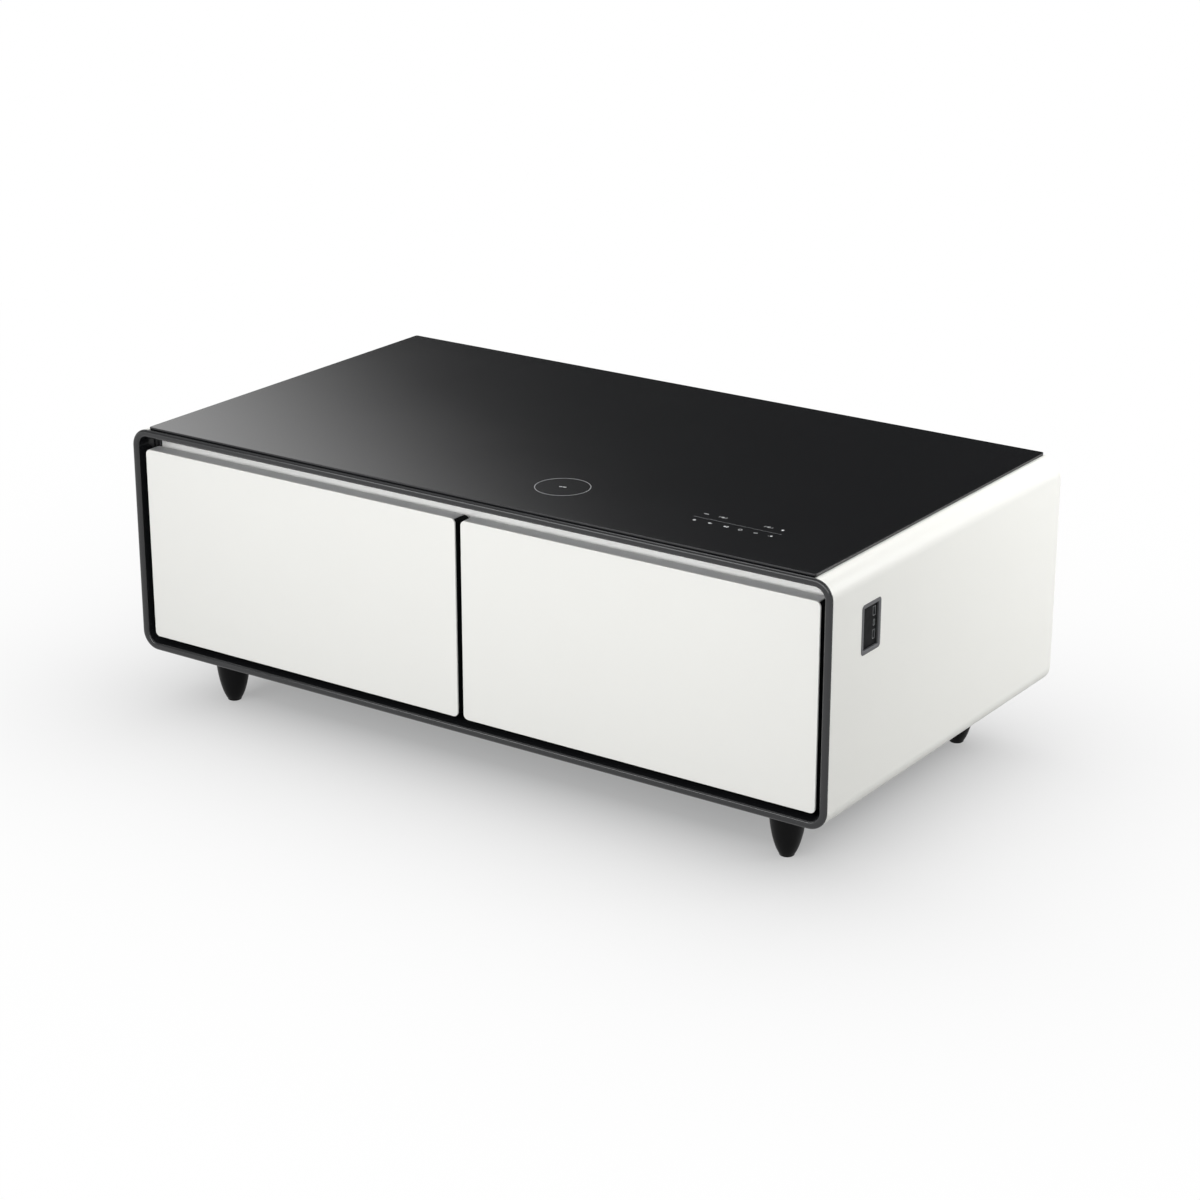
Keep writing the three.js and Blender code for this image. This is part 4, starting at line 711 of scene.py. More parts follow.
@tinted("#1e5f3c")
def circuit_board(tint):
    """Glass-fibre board under green solder mask: glossy, with a weave of 0.8 mm that lightens the green."""
    coat = Coat("Green glass-fibre board", tint, 0.3, ior=1.55)
    coat.vary((0.8, 4, 4), tone=0.12)
    return coat.vary((4, 0.8, 4), relief=0.01)


@tinted("#e8eaec")
def mark_ink(tint):
    """Fired ceramic ink: off-white, a little uneven in cover."""
    return Coat("White ceramic ink", tint, 0.45).vary(1.5, tone=0.05)


@tinted("#a4a6a8")
def line_ink(tint):
    """Fired ceramic ink, laid thinner: the dimmer grey of the ring and the line."""
    return Coat("Grey ceramic ink", tint, 0.45).vary(4, tone=0.06)


class Finishes(bpy.types.PropertyGroup):
    """One colour for each material of the table."""
    __annotations__ = TINTS


class TableSettings(bpy.types.PropertyGroup):
    """All the settings of the table."""
    frame: PointerProperty(type=FrameSizes)
    panels: PointerProperty(type=PanelSizes)
    glass: PointerProperty(type=GlassSizes)
    drawers: PointerProperty(type=DrawerSizes)
    inner: PointerProperty(type=InnerSizes)
    finishes: PointerProperty(type=Finishes)
    studio: PointerProperty(type=StudioSettings)


# Materials that are made already, by slot
made = {}


def finish(slot):
    """The material of a slot, made when it is first asked for."""
    if slot not in made:
        tint = getattr(bpy.context.scene.cold_table.finishes, slot)
        made[slot] = COATS[slot](tuple(tint)).material
    return made[slot]


# Pieces

class TABLE_OT_front_frame(bpy.types.Operator):
    """Makes the front frame: bead and skirt as one closed profile carried round the case, and the landing"""
    bl_idname = "cold_table.front_frame"
    bl_label = "Front frame"

    def execute(self, context):
        sizes = context.scene.cold_table.frame
        low, high = corners("front_frame")
        front = low[1]
        width, depth = sizes.round_width, sizes.round_depth
        outer = arc((width, front + depth), (width, depth), 180, 270)
        inner = arc((sizes.bead_width - width, front + depth), (width, depth), 270, 360)
        behind = front + sizes.bead_depth
        landing = high[1] - sizes.landing_thickness
        skirt = sizes.bead_width - sizes.skirt_wall
        back = [(sizes.bead_width, landing), (skirt, landing), (skirt, behind), (0, behind)]
        profile = np.concatenate([outer, inner, back])
        moulding = inset_rings(low[[0, 2]], high[[0, 2]], sizes.corner_radius, profile, FRONT)
        shells = [shell(moulding, closed=True)]
        shells += [self.landing(side, low, high, landing, skirt, context) for side in SIDES]
        add_piece("front_frame_moulding", shells, "black_plastic", "cabinet", "front_frame")
        return {"FINISHED"}

    def landing(self, side, low, high, depth, skirt, context):
        """Half of the landing: a ring from its outline to a compartment's mouth, through its thickness."""
        sizes = context.scene.cold_table
        inner = sizes.inner
        mouth_low, mouth_high = corners(f"liner_{side}")
        margin = inner.liner_flange + inner.liner_wall
        mouth = mouth_low[[0, 2]] + margin, mouth_high[[0, 2]] - margin
        edge_low = np.array([low[0] + skirt if side == "left" else 0, low[2] + skirt])
        edge_high = np.array([0 if side == "left" else high[0] - skirt, high[2] - skirt])
        wide, least = sizes.frame.corner_radius - skirt, LEAST_RADIUS
        edge = (least, least, wide, wide) if side == "left" else (wide, wide, least, least)
        hole = [inner.liner_radius] * 4
        lows = np.array([mouth[0], edge_low, edge_low, mouth[0]])
        highs = np.array([mouth[1], edge_high, edge_high, mouth[1]])
        depths = np.array([depth, depth, high[1], high[1]])
        grid = rings(lows, highs, np.array([hole, edge, edge, hole]), depths, FRONT)
        return shell(grid, closed=True)


# Steps of a panel's bend, and the point of its path that follows the straight side
BEND_STEPS = ROUND_STEPS // 2
SIDE_END = BEND_STEPS + 2


class TABLE_OT_body_panels(bpy.types.Operator):
    """Makes the body panels: a bent path carried from front to back, offset inwards by the sheet's wall"""
    bl_idname = "cold_table.body_panels"
    bl_label = "Body panels"

    def execute(self, context):
        sizes = context.scene.cold_table.panels
        notch = corners("glass_top")[0][1] + sizes.flange_notch
        for side, sign in zip(SIDES, (-1, 1)):
            low, high = corners(f"side_panel_{side}")
            reach = max(abs(low[0]), abs(high[0]))
            paths = [self.path(sizes, reach, low[2], high[2], inset) for inset in (0, sizes.wall)]
            stations = np.array([low[1], notch, high[1]])
            if side == "right":
                paths, stations = self.cut_out(sizes, paths, stations)
            kept = np.ones((len(paths[0]) - 1, len(stations) - 1), dtype=bool)
            kept[-1, 0] = False
            if side == "right":
                kept[SIDE_END, 2] = False
            shells = [sheet(*(self.carry(path, stations, sign) for path in paths), kept)]
            add_piece(f"body_panel_{side}", shells, "white_enamel", "cabinet", f"side_panel_{side}")
        return {"FINISHED"}

    def path(self, sizes, reach, bottom, top, inset):
        """Lower flange, quarter bend, side, quarter bend and upper flange, set in by the inset."""
        radius = sizes.bend_radius
        centre = reach - radius
        lower = arc((centre, bottom + radius), radius - inset, -90, 0, BEND_STEPS)
        upper = arc((centre, top - radius), radius - inset, 0, 90, BEND_STEPS)
        start = [(centre - sizes.bottom_flange, bottom + inset)]
        end = [(centre - sizes.top_flange, top - inset)]
        return np.concatenate([start, lower, upper, end])

    def cut_out(self, sizes, paths, stations):
        """Adds path points and stations at the edges of the socket's cut-out."""
        low, high = corners("socket_bezel")
        low, high = low + sizes.socket_lap, high - sizes.socket_lap
        extra = [[(path[SIDE_END, 0], low[2]), (path[SIDE_END, 0], high[2])] for path in paths]
        paths = [np.insert(path, SIDE_END, points, axis=0) for path, points in zip(paths, extra)]
        return paths, np.insert(stations, 2, [low[1], high[1]])

    def carry(self, path, stations, sign):
        """P(i, y) = (x(i), y, z(i)), on the left with x turned round."""
        grid = np.empty((len(path), len(stations), 3))
        grid[..., 0] = sign * path[:, :1]
        grid[..., 1] = stations
        grid[..., 2] = path[:, 1:]
        return grid


class TABLE_OT_glass(bpy.types.Operator):
    """Makes the glass top: rounded rectangles stacked up a polished edge profile, closed by flat faces"""
    bl_idname = "cold_table.glass"
    bl_label = "Glass top"

    def execute(self, context):
        sizes = context.scene.cold_table.glass
        low, high = corners("glass_top")
        top = high[2] - sizes.ink
        edge = sizes.edge_round
        lower = arc((edge / 2, low[2] + edge / 2), edge / 2, 270, 180, EDGE_STEPS // 2)
        upper = arc((edge, top - edge), edge, 180, 90)
        profile = np.concatenate([lower, upper])
        grid = inset_rings(low[:2], high[:2], sizes.corner_radius, profile, TOP)
        add_piece("glass_plate", [shell(grid)], "black_glass", "cabinet", "glass_top")
        return {"FINISHED"}


# Strokes of the touch marks, in millimetres from the middle of the line between them. A row holds a width,
# then the two ends of a bar, or the centre and radius of a ring, with two angles in degrees if it is an arc.
ICONS = (
    # Power sign
    (1.0, (-64, -14.8), 1.8, 120, 420), (1.0, (-64, -14.8), (-64, -12.2)),
    # Lamp
    (1.6, (-38.4, -14.6), 1.2),
    (0.6, (-36.4, -15.3), (-34.2, -15.3)), (0.6, (-36.4, -13.9), (-34.2, -13.9)),
    # Loudspeaker
    (2.9, (-13.6, -14.8), (-10.2, -14.8)),
    (0.8, (-11, -14.8), 3.0, -50, 50), (0.6, (-11, -14.8), 4.6, -45, 45),
    # Turning sign
    (0.6, (14.6, -15), 2.6, 20, 160), (0.6, (14.6, -15), 2.6, 200, 340),
    (0.5, (12, -15), 0.35), (0.5, (17.2, -15), 0.35),
    # Slanted dash
    (1.3, (37.4, -15.9), (40.4, -15.1)), (1.3, (40.0, -14.9), (43.4, -14.1)),
    # Lock
    (2.4, (64.2, -14.6), (67.4, -14.6)), (0.6, (65.8, -13.4), 1.2, 0, 180),
    (0.6, (61.4, -15.6), (63.2, -15.6)),
    # Dash and plain dot of the upper row
    (0.95, (-68.5, 18.2), (-60.5, 18.2)), (2.1, (66, 17.6), 1.1),
)

# A ringed dot between two brackets, from the dot's middle, and the two places where it is printed
BRACKETED_DOT = (
    (1.0, (0, 0), 0.55), (0.4, (0, 0), 2.4), (0.35, (0, 0), 6.2, 150, 210), (0.35, (0, 0), 6.2, -30, 30),
)
BRACKETED_DOT_PLACES = ((-35.5, 18), (42.2, 18))

# Two slanted dashes, from the middle of the charging ring
RING_DASHES = ((1.6, (-5.5, -1.6), (-0.6, 0.2)), (1.6, (0.6, -0.2), (5.5, 1.6)))


class TABLE_OT_marks(bpy.types.Operator):
    """Prints the charging ring and the touch marks: flat strokes carried along arcs and lines"""
    bl_idname = "cold_table.marks"
    bl_label = "Printed marks"

    def execute(self, context):
        sizes = context.scene.cold_table.glass
        low, high = corners("front_frame")
        top = corners("glass_top")[1][2]
        heights = top - sizes.ink, top - sizes.ink / 5
        ring = np.array([high[0] - sizes.ring_from_right, low[1] + sizes.ring_from_front])
        marks = np.array([high[0] - sizes.marks_from_right, low[1] + sizes.marks_from_front])
        half = sizes.marks_width / MM / 2
        dim = [
            self.printed(ring, heights, sizes.ring_line / MM, (0, 0), sizes.ring_radius / MM),
            self.printed(marks, heights, sizes.marks_line / MM, (-half, 0), (half, 0)),
        ]
        add_piece("charging_ring_and_line", dim, "line_ink", "cabinet")
        groups = [(ring, RING_DASHES), (marks, ICONS)]
        groups += [(marks + np.array(place) * MM, BRACKETED_DOT) for place in BRACKETED_DOT_PLACES]
        bright = [self.printed(origin, heights, *row) for origin, rows in groups for row in rows]
        add_piece("touch_marks", bright, "mark_ink", "cabinet")
        return {"FINISHED"}

    def printed(self, origin, heights, width, start, end, *angles):
        """One stroke, in millimetres from its origin: a bar or, where its end is a radius, a ring or arc."""
        ring = not angles and not isinstance(end, tuple)
        if ring:
            path = arc(start, end, 0, 360, ROUND_STEPS)[:-1]
        elif angles:
            path = arc(start, end, *angles, ROUND_STEPS // 2)
        else:
            path = np.array([start, end])
        return stroke(origin + path * MM, width * MM, *heights, ring)


class TABLE_OT_finger_channel(bpy.types.Operator):
    """Makes the strip and its end pieces: closed profiles carried straight, cut by the frame's corners"""
    bl_idname = "cold_table.finger_channel"
    bl_label = "Finger channel"

    def execute(self, context):
        sizes = context.scene.cold_table
        low, high = corners("channel_strip")
        frame_high = corners("front_frame")[1]
        gap = frame_high[2] - sizes.frame.bead_width - high[2]
        radius = sizes.frame.corner_radius - sizes.frame.bead_width - gap
        reach = frame_high[0] - sizes.frame.bead_width - gap
        stations = np.linspace(reach - radius, high[0], EDGE_STEPS)
        stations = np.concatenate([-stations[::-1], stations])
        top = high[2] - corner_drop(stations, reach, radius)
        bottom = np.full(len(stations), low[2])
        grid = carried(self.section(sizes.inner.strip_wall, low, high), stations, bottom, top, SIDE)
        add_piece("channel_strip_profile", [shell(grid)], "brushed_aluminium", "cabinet", "channel_strip")
        for side, sign in zip(SIDES, (-1, 1)):
            self.end_piece(side, sign, reach, radius, high[2])
        return {"FINISHED"}

    def section(self, wall, low, high):
        """Flat face with three legs behind it, in Y and Z."""
        front, back, bottom, top = low[1], high[1], low[2], high[2]
        middle = (bottom + top - wall) / 2
        web = front + wall
        return np.array([
            (front, bottom), (back, bottom), (back, bottom + wall), (web, bottom + wall), (web, middle),
            (back, middle), (back, middle + wall), (web, middle + wall), (web, top - wall),
            (back, top - wall), (back, top), (front, top),
        ])

    def end_piece(self, side, sign, reach, radius, top):
        """Hollow fillet from the skirt to the strip, carried upwards and cut by the frame's corner."""
        low, high = corners(f"channel_cheek_{side}")
        inner = min(abs(low[0]), abs(high[0]))
        size = reach - inner
        hollow = arc((inner, low[1]), size, 90, 0, 2 * EDGE_STEPS)
        loop = np.concatenate([[(inner, high[1])], hollow, [(reach, high[1])]])[:, ::-1]
        stations = np.concatenate([[low[2]], np.linspace(top + size - radius, high[2], EDGE_STEPS)])
        centre = top - radius
        past = np.clip(stations - centre, 0, radius)
        limit = reach - radius + np.sqrt(radius ** 2 - past ** 2)
        grid = carried(loop, stations, np.full(len(stations), inner), limit, UPRIGHT)
        grid[..., 0] *= sign
        add_piece(f"channel_end_{side}", [shell(grid)], "black_plastic", "cabinet", f"channel_cheek_{side}")


class TABLE_OT_drawer_fronts(bpy.types.Operator):
    """Makes the white front plates: rounded rectangles stacked along a rounded edge profile"""
    bl_idname = "cold_table.drawer_fronts"
    bl_label = "Drawer fronts"

    def execute(self, context):
        sizes = context.scene.cold_table.drawers
        edge = sizes.edge_round
        chamfer = edge / 4
        for side in SIDES:
            low, high = corners(f"drawer_{side}_panel")
            front = arc((edge, low[1] + edge), edge, 270, 180)
            back = [(0, high[1] - chamfer), (chamfer, high[1])]
            profile = np.concatenate([front, back])
            grid = inset_rings(low[[0, 2]], high[[0, 2]], sizes.head_radius, profile, FRONT)
            name = f"drawer_{side}_front"
            add_piece(name, [shell(grid)], "white_front", f"drawer_{side}", f"drawer_{side}_panel")
        return {"FINISHED"}


class TABLE_OT_drawer_cores(bpy.types.Operator):
    """Makes the drawer cores: a side profile carried across, held between the rounded outline's two edges"""
    bl_idname = "cold_table.drawer_cores"
    bl_label = "Drawer cores"

    def execute(self, context):
        sizes = context.scene.cold_table.drawers
        for side in SIDES:
            low, high = corners(f"drawer_{side}_core")
            panel_high = corners(f"drawer_{side}_panel")[1]
            handle_low = corners(f"drawer_{side}_handle")[0]
            top = panel_high[2] - sizes.core_inset
            radius = sizes.head_radius - sizes.core_inset
            half = (high[0] - low[0]) / 2
            gap = handle_low[1] - low[1] + SEAT_GAP
            riser = gap / 1000
            ends = np.linspace(0, 1, CORNER_STEPS + 1) ** 2
            cheek = np.sort(np.concatenate([ends * radius, [sizes.cheek, sizes.cheek + riser]]))
            stations = np.concatenate([cheek - half, half - cheek[::-1]])
            drop = corner_drop(stations, half, radius)
            inside = np.abs(stations) < half - sizes.cheek - riser / 2
            upper = np.where(inside, handle_low[2] - gap, top - drop)
            loop = self.section(sizes, low, high, top)
            grid = carried(loop, stations, low[2] + drop, upper, SIDE)
            grid[..., 0] += (low[0] + high[0]) / 2
            name = f"drawer_{side}_body"
            add_piece(name, [shell(grid)], "black_core", f"drawer_{side}", f"drawer_{side}_core")
        return {"FINISHED"}

    def section(self, sizes, low, high, top):
        """Flat front, small round at the bottom of the back and large round at its top, in Y and Z."""
        back, bottom = high[1], low[2]
        small, large = sizes.core_round, sizes.handle_round
        lower = arc((back - small, bottom + small), small, 270, 360)
        upper = arc((back - large, top - large), large, 0, 90, CORNER_STEPS)
        return np.concatenate([[(low[1], bottom)], lower, upper, [(low[1], top)]])


class TABLE_OT_handles(bpy.types.Operator):
    """Makes the handles: an open section with a rounded back edge, carried across and offset by its wall"""
    bl_idname = "cold_table.handles"
    bl_label = "Handles"

    def execute(self, context):
        sizes = context.scene.cold_table.drawers
        for side in SIDES:
            low, high = corners(f"drawer_{side}_handle")
            grids = [self.grid(sizes, low, high, inset) for inset in (0, sizes.handle_wall)]
            name = f"drawer_{side}_handle_section"
            add_piece(name, [sheet(*grids)], "grey_aluminium", f"drawer_{side}", f"drawer_{side}_handle")
        return {"FINISHED"}

    def grid(self, sizes, low, high, inset):
        """Front wall, top and round back wall, set in by the inset: P(i, x) = (x, y(i), z(i))."""
        edge = max(sizes.edge_round - inset, LEAST_RADIUS / 2)
        centre = high[1] - sizes.handle_round, high[2] - sizes.handle_round
        front, top = low[1] + inset, high[2] - inset
        nose = arc((front + edge, top - edge), edge, 180, 90)
        back = arc(centre, sizes.handle_round - inset, 90, 0, 2 * CORNER_STEPS)
        path = np.concatenate([[(front, low[2])], nose, back, [(high[1] - inset, low[2])]])
        grid = np.empty((len(path), 2, 3))
        grid[..., 0] = low[0], high[0]
        grid[..., 1:] = path[:, None]
        return grid


class TABLE_OT_gaskets(bpy.types.Operator):
    """Makes the gaskets: a profile with two lips and a waist, carried round a rounded rectangle"""
    bl_idname = "cold_table.gaskets"
    bl_label = "Gaskets"

    def execute(self, context):
        sizes = context.scene.cold_table.drawers
        for side in SIDES:
            low, high = corners(f"drawer_{side}_gasket")
            profile = self.profile(sizes, low[1], high[1])
            grid = inset_rings(low[[0, 2]], high[[0, 2]], sizes.gasket_radius, profile, FRONT)
            piece = f"drawer_{side}_seal"
            add_piece(piece, [shell(grid, True)], "gasket_rubber", f"drawer_{side}", f"drawer_{side}_gasket")
        return {"FINISHED"}

    def profile(self, sizes, front, back):
        """Outer half of the section, round at each lip and straight at the waist, then its mirror image."""
        half = sizes.gasket_lip / 2
        root = 2.4 * half
        first = arc((half, front + half), half, 270, 90)
        last = arc((half, back - half), half, 270, 90)
        waist = [(sizes.gasket_waist, front + root), (sizes.gasket_waist, back - root)]
        outer = np.concatenate([first, waist, last])
        inner = outer[::-1] * (-1, 1) + (sizes.gasket_width, 0)
        return np.concatenate([outer, inner])


class TABLE_OT_bins(bpy.types.Operator):
    """Makes the bins: rounded rectangles stacked up outside, over the rim and down inside, with floor ribs"""
    bl_idname = "cold_table.bins"
    bl_label = "Bins"

    def execute(self, context):
        sizes = context.scene.cold_table.drawers
        for side in SIDES:
            low, high = corners(f"drawer_{side}_bin")
            shells = [shell(self.tub(sizes, low, high))] + self.ribs(sizes, low, high)
            add_piece(f"drawer_{side}_tub", shells, "bin_plastic", f"drawer_{side}", f"drawer_{side}_bin")
        return {"FINISHED"}

    def tub(self, sizes, low, high):
        """Rows of (inset, set-in of the two sides, height) up the outside and down the inside."""
        rim, wall, fillet, step = sizes.bin_rim, sizes.bin_wall, sizes.bin_fillet, sizes.bin_step
        floor, top = low[2], high[2]
        under = top - sizes.bin_rim_thickness
        ledge = floor + sizes.bin_ledge
        foot = arc((fillet, floor + fillet), fillet, 270, 180)
        edge = SOFT_EDGE
        out = [(x, step + sizes.bin_draft, z) for x, z in foot]
        out += [(0, step, ledge - edge), (0, step - edge, ledge), (0, edge, ledge), (0, 0, ledge + edge)]
        out += [(0, 0, under), (0, edge - rim, under), (0, -rim, under + edge)]
        out += [(0, -rim, top - edge), (0, edge - rim, top)]
        back = [(wall - edge, 0, top), (wall, 0, top - edge), (wall, 0, ledge + wall + edge)]
        back += [(wall, edge, ledge + wall), (wall, step - edge, ledge + wall)]
        back += [(wall, step, ledge + wall - edge)]
        hollow = arc((wall + fillet, floor + wall + fillet), fillet, 180, 270)
        back += [(x, step + sizes.bin_draft, z) for x, z in hollow]
        inset, side, height = np.array(out + back).T
        lows = np.stack([low[0] + rim + side + inset, low[1] + inset], axis=-1)
        highs = np.stack([high[0] - rim - side - inset, high[1] - inset], axis=-1)
        radius = np.maximum(sizes.bin_radius - inset, edge)
        return rings(lows, highs, radius, height, TOP)

    def ribs(self, sizes, low, high, count=5):
        """Low round-topped ribs along the floor, rooted in it."""
        inner = sizes.bin_rim + sizes.bin_step + sizes.bin_draft + sizes.bin_radius
        places = np.linspace(low[0] + inner, high[0] - inner, count)
        floor = low[2] + sizes.bin_wall
        half, height, flat = 1.5 * MM, 2 * MM, 0.1 * MM
        crest = floor + height
        profile = [(0, floor - half), (0, floor + height / 2), (half / 3, crest), (half - flat, crest)]
        near, far = low[1] + sizes.bin_radius, high[1] - sizes.bin_radius
        return [
            shell(inset_rings((x - half, near), (x + half, far), half, profile, TOP, EDGE_STEPS))
            for x in places
        ]


class TABLE_OT_liners(bpy.types.Operator):
    """Makes the liners: rounded rectangles from the back to the mouth, round the flange and back outside"""
    bl_idname = "cold_table.liners"
    bl_label = "Liners"

    def execute(self, context):
        sizes = context.scene.cold_table.inner
        for side in SIDES:
            low, high = corners(f"liner_{side}")
            margin = sizes.liner_flange + sizes.liner_wall
            mouth = low[[0, 2]] + margin, high[[0, 2]] - margin
            profile = self.profile(sizes, low[1], high[1])
            grid = inset_rings(*mouth, sizes.liner_radius, profile, FRONT)
            add_piece(f"liner_{side}_tub", [shell(grid)], "liner_plastic", "cabinet", f"liner_{side}")
        return {"FINISHED"}

    def profile(self, sizes, front, back):
        """Rows of (inset from the mouth, depth)."""
        wall, radius, edge = sizes.liner_wall, sizes.liner_round, SOFT_EDGE
        inside = arc((radius, back - wall - radius), radius, 90, 180)
        lip = arc((-edge, front + edge), edge, 360, 270)
        flange = -wall - sizes.liner_flange
        rim = [(flange, front), (flange, front + wall), (-wall, front + wall)]
        outside = arc((radius, back - radius - wall), radius + wall, 180, 90)
        return np.concatenate([inside, lip, rim, outside])


class TABLE_OT_legs(bpy.types.Operator):
    """Makes the legs: r(z) = R sqrt(1 - ((h - z) / H)^2) turned about an upright axis, with a rounded foot"""
    bl_idname = "cold_table.legs"
    bl_label = "Legs"

    def execute(self, context):
        sizes = context.scene.cold_table.inner
        for corner in CORNERS:
            low, high = corners(f"leg_{corner}")
            profile = self.profile(sizes, (high[1] - low[1]) / 2, low[2], high[2])
            shells = [shell(turned(profile, *(low + high)[:2] / 2))]
            add_piece(f"leg_{corner}_peg", shells, "leg_plastic", "cabinet", f"leg_{corner}")
        return {"FINISHED"}

    def profile(self, sizes, radius, floor, end):
        """Rounded foot, swelling side whose points lie closer near the foot, softened upper edge, and stud.

        The foot's rounding ends 15 degrees early and swells by a share of its radius, to meet the side.
        """
        top, edge = end - sizes.stud_length, 0.4 * MM
        foot_round, swell_share = sizes.leg_foot_round, 0.2
        reach = top / np.sqrt(1 - (sizes.leg_foot / radius) ** 2)
        height = floor + foot_round + (top - foot_round) * np.linspace(0, 1, 2 * CORNER_STEPS) ** 1.5
        side = np.stack([radius * np.sqrt(1 - ((top - height) / reach) ** 2), height], axis=-1)
        foot = arc((side[0, 0] - foot_round, floor + foot_round), foot_round, 270, 345)
        foot[:, 0] += swell_share * foot_round * np.linspace(0, 1, len(foot)) ** 3
        rim = side[-1, 0]
        stud = [(sizes.stud_radius, top), (sizes.stud_radius, end)]
        return np.concatenate([foot[:-1], side[:-1], [(rim, top - edge), (rim - edge, top)], stud])


class TABLE_OT_socket_frame(bpy.types.Operator):
    """Makes the socket frame: a bevelled profile carried round a rounded rectangle on the right panel"""
    bl_idname = "cold_table.socket_frame"
    bl_label = "Socket frame"

    def execute(self, context):
        sizes = context.scene.cold_table.inner
        panel = corners("side_panel_right")[1][0]
        low, high = corners("socket_bezel")
        seat, edge = panel + SEAT_GAP, 0.15 * MM
        # The inner edge falls off in shares of the outer bevel
        width, bevel = sizes.socket_width, sizes.socket_bevel
        neck = context.scene.cold_table.panels.socket_lap + SEAT_GAP
        profile = np.array([
            (0, seat), (edge, seat + 0.8 * edge), (bevel, high[0]), (width - 0.9 * bevel, high[0]),
            (width - 0.1 * bevel, high[0] - bevel / 3), (width, high[0] - 0.6 * bevel), (width, low[0]),
            (neck, low[0]), (neck, seat),
        ])
        grid = inset_rings(low[1:], high[1:], sizes.socket_radius, profile, SIDE)
        add_piece("socket_frame", [shell(grid, True)], "grey_bezel", "cabinet", "socket_bezel")
        return {"FINISHED"}


class TABLE_OT_port_shells(bpy.types.Operator):
    """Lines the three ports with metal: a thin wall's closed profile carried round a rounded rectangle"""
    bl_idname = "cold_table.port_shells"
    bl_label = "Port shells"

    def execute(self, context):
        sizes = context.scene.cold_table.inner
        low, high = corners("socket_bezel")
        middle = (low + high)[1:] / 2 + (sizes.port_set_back, sizes.port_rise)
        face = corners("side_panel_right")[1][0] - sizes.port_recess
        play, proud, depth, radius = 0.05 * MM, 0.15 * MM, 9 * MM, 0.8 * MM
        wall = play + sizes.port_wall
        back, front = face - depth, face + proud
        profile = np.array([(play, back), (play, front), (wall, front), (wall, back)])
        larger = np.array([sizes.port_width, sizes.port_height]) / 2
        small = np.array([sizes.small_port_width, sizes.small_port_height]) / 2
        shells = []
        for step, half in ((-1, larger), (0, small), (1, larger)):
            centre = middle + (0, step * sizes.port_pitch)
            grid = inset_rings(centre - half, centre + half, radius, profile, SIDE, EDGE_STEPS)
            shells.append(shell(grid, True))
        add_piece("port_shells", shells, "slide_steel", "cabinet")
        return {"FINISHED"}


class TABLE_OT_carried_finishes(bpy.types.Operator):
    """Gives every node that keeps its own shape the material of its slot"""
    bl_idname = "cold_table.carried_finishes"
    bl_label = "Finishes of carried pieces"

    def execute(self, context):
        slots = {part["node"]: part["material_slot"] for part in frame["record"]["subparts"]}
        for name, node in frame["nodes"].items():
            node.data.materials.clear()
            node.data.materials.append(finish(slots[name]))
        return {"FINISHED"}


# Studio

# Where each edge in the dome fades: compass turns from the back towards the right, in degrees, and heights as
# the Z of a direction. The curtain's left edge leans by a turn for a height of one.
CURTAIN_LEFT = (-64.7, -55.2)
CURTAIN_LEAN = -65
CURTAIN_RIGHT = (40, 60)
CURTAIN_TOP = (0.45, 0.6)
DOME_RISE = (0.35, 0.7)
PANEL_LEFT = (-105, -62)
PANEL_TOP = (0.4, 0.6)

# Rings of the floor and of the far wall that it rises to, in metres, and how far it lies below the legs
FLOOR_RADII = np.array([0.001, 2, 6, 20, 60, 61, 61])
FLOOR_HEIGHTS = np.array([0, 0, 0, 0, 0, 1, 9.5])
FLOOR_DROP = 0.2 * MM

# How far inside the body's outline the painted white light on the floor starts to grow, and up to which
# height it is floor
GLOW_MARGIN = 0.12
GLOW_HEIGHT = 1.0

# Each lamp's size, its place and the place that it is turned towards, in metres
LAMPS = {
    "front_lamp": ((2.8, 0.35), (0, -1.6, 0.85), (0, -0.35, 0.35)),
    "low_lamp": ((1.6, 0.5), (-1.6, -1.8, 0.55), (0, -0.35, 0.35)),
    "side_lamp": ((0.9, 0.9), (1.9, 1.0, 1.1), (0.65, 0.3, 0.35)),
    "edge_lamp": ((0.8, 0.5), (1.4, 0.4, 1.3), (0.65, 0.2, 0.4)),
    "back_lamp": ((2.0, 1.2), (-0.3, 1.3, 2.2), (0, 0, 0)),
}


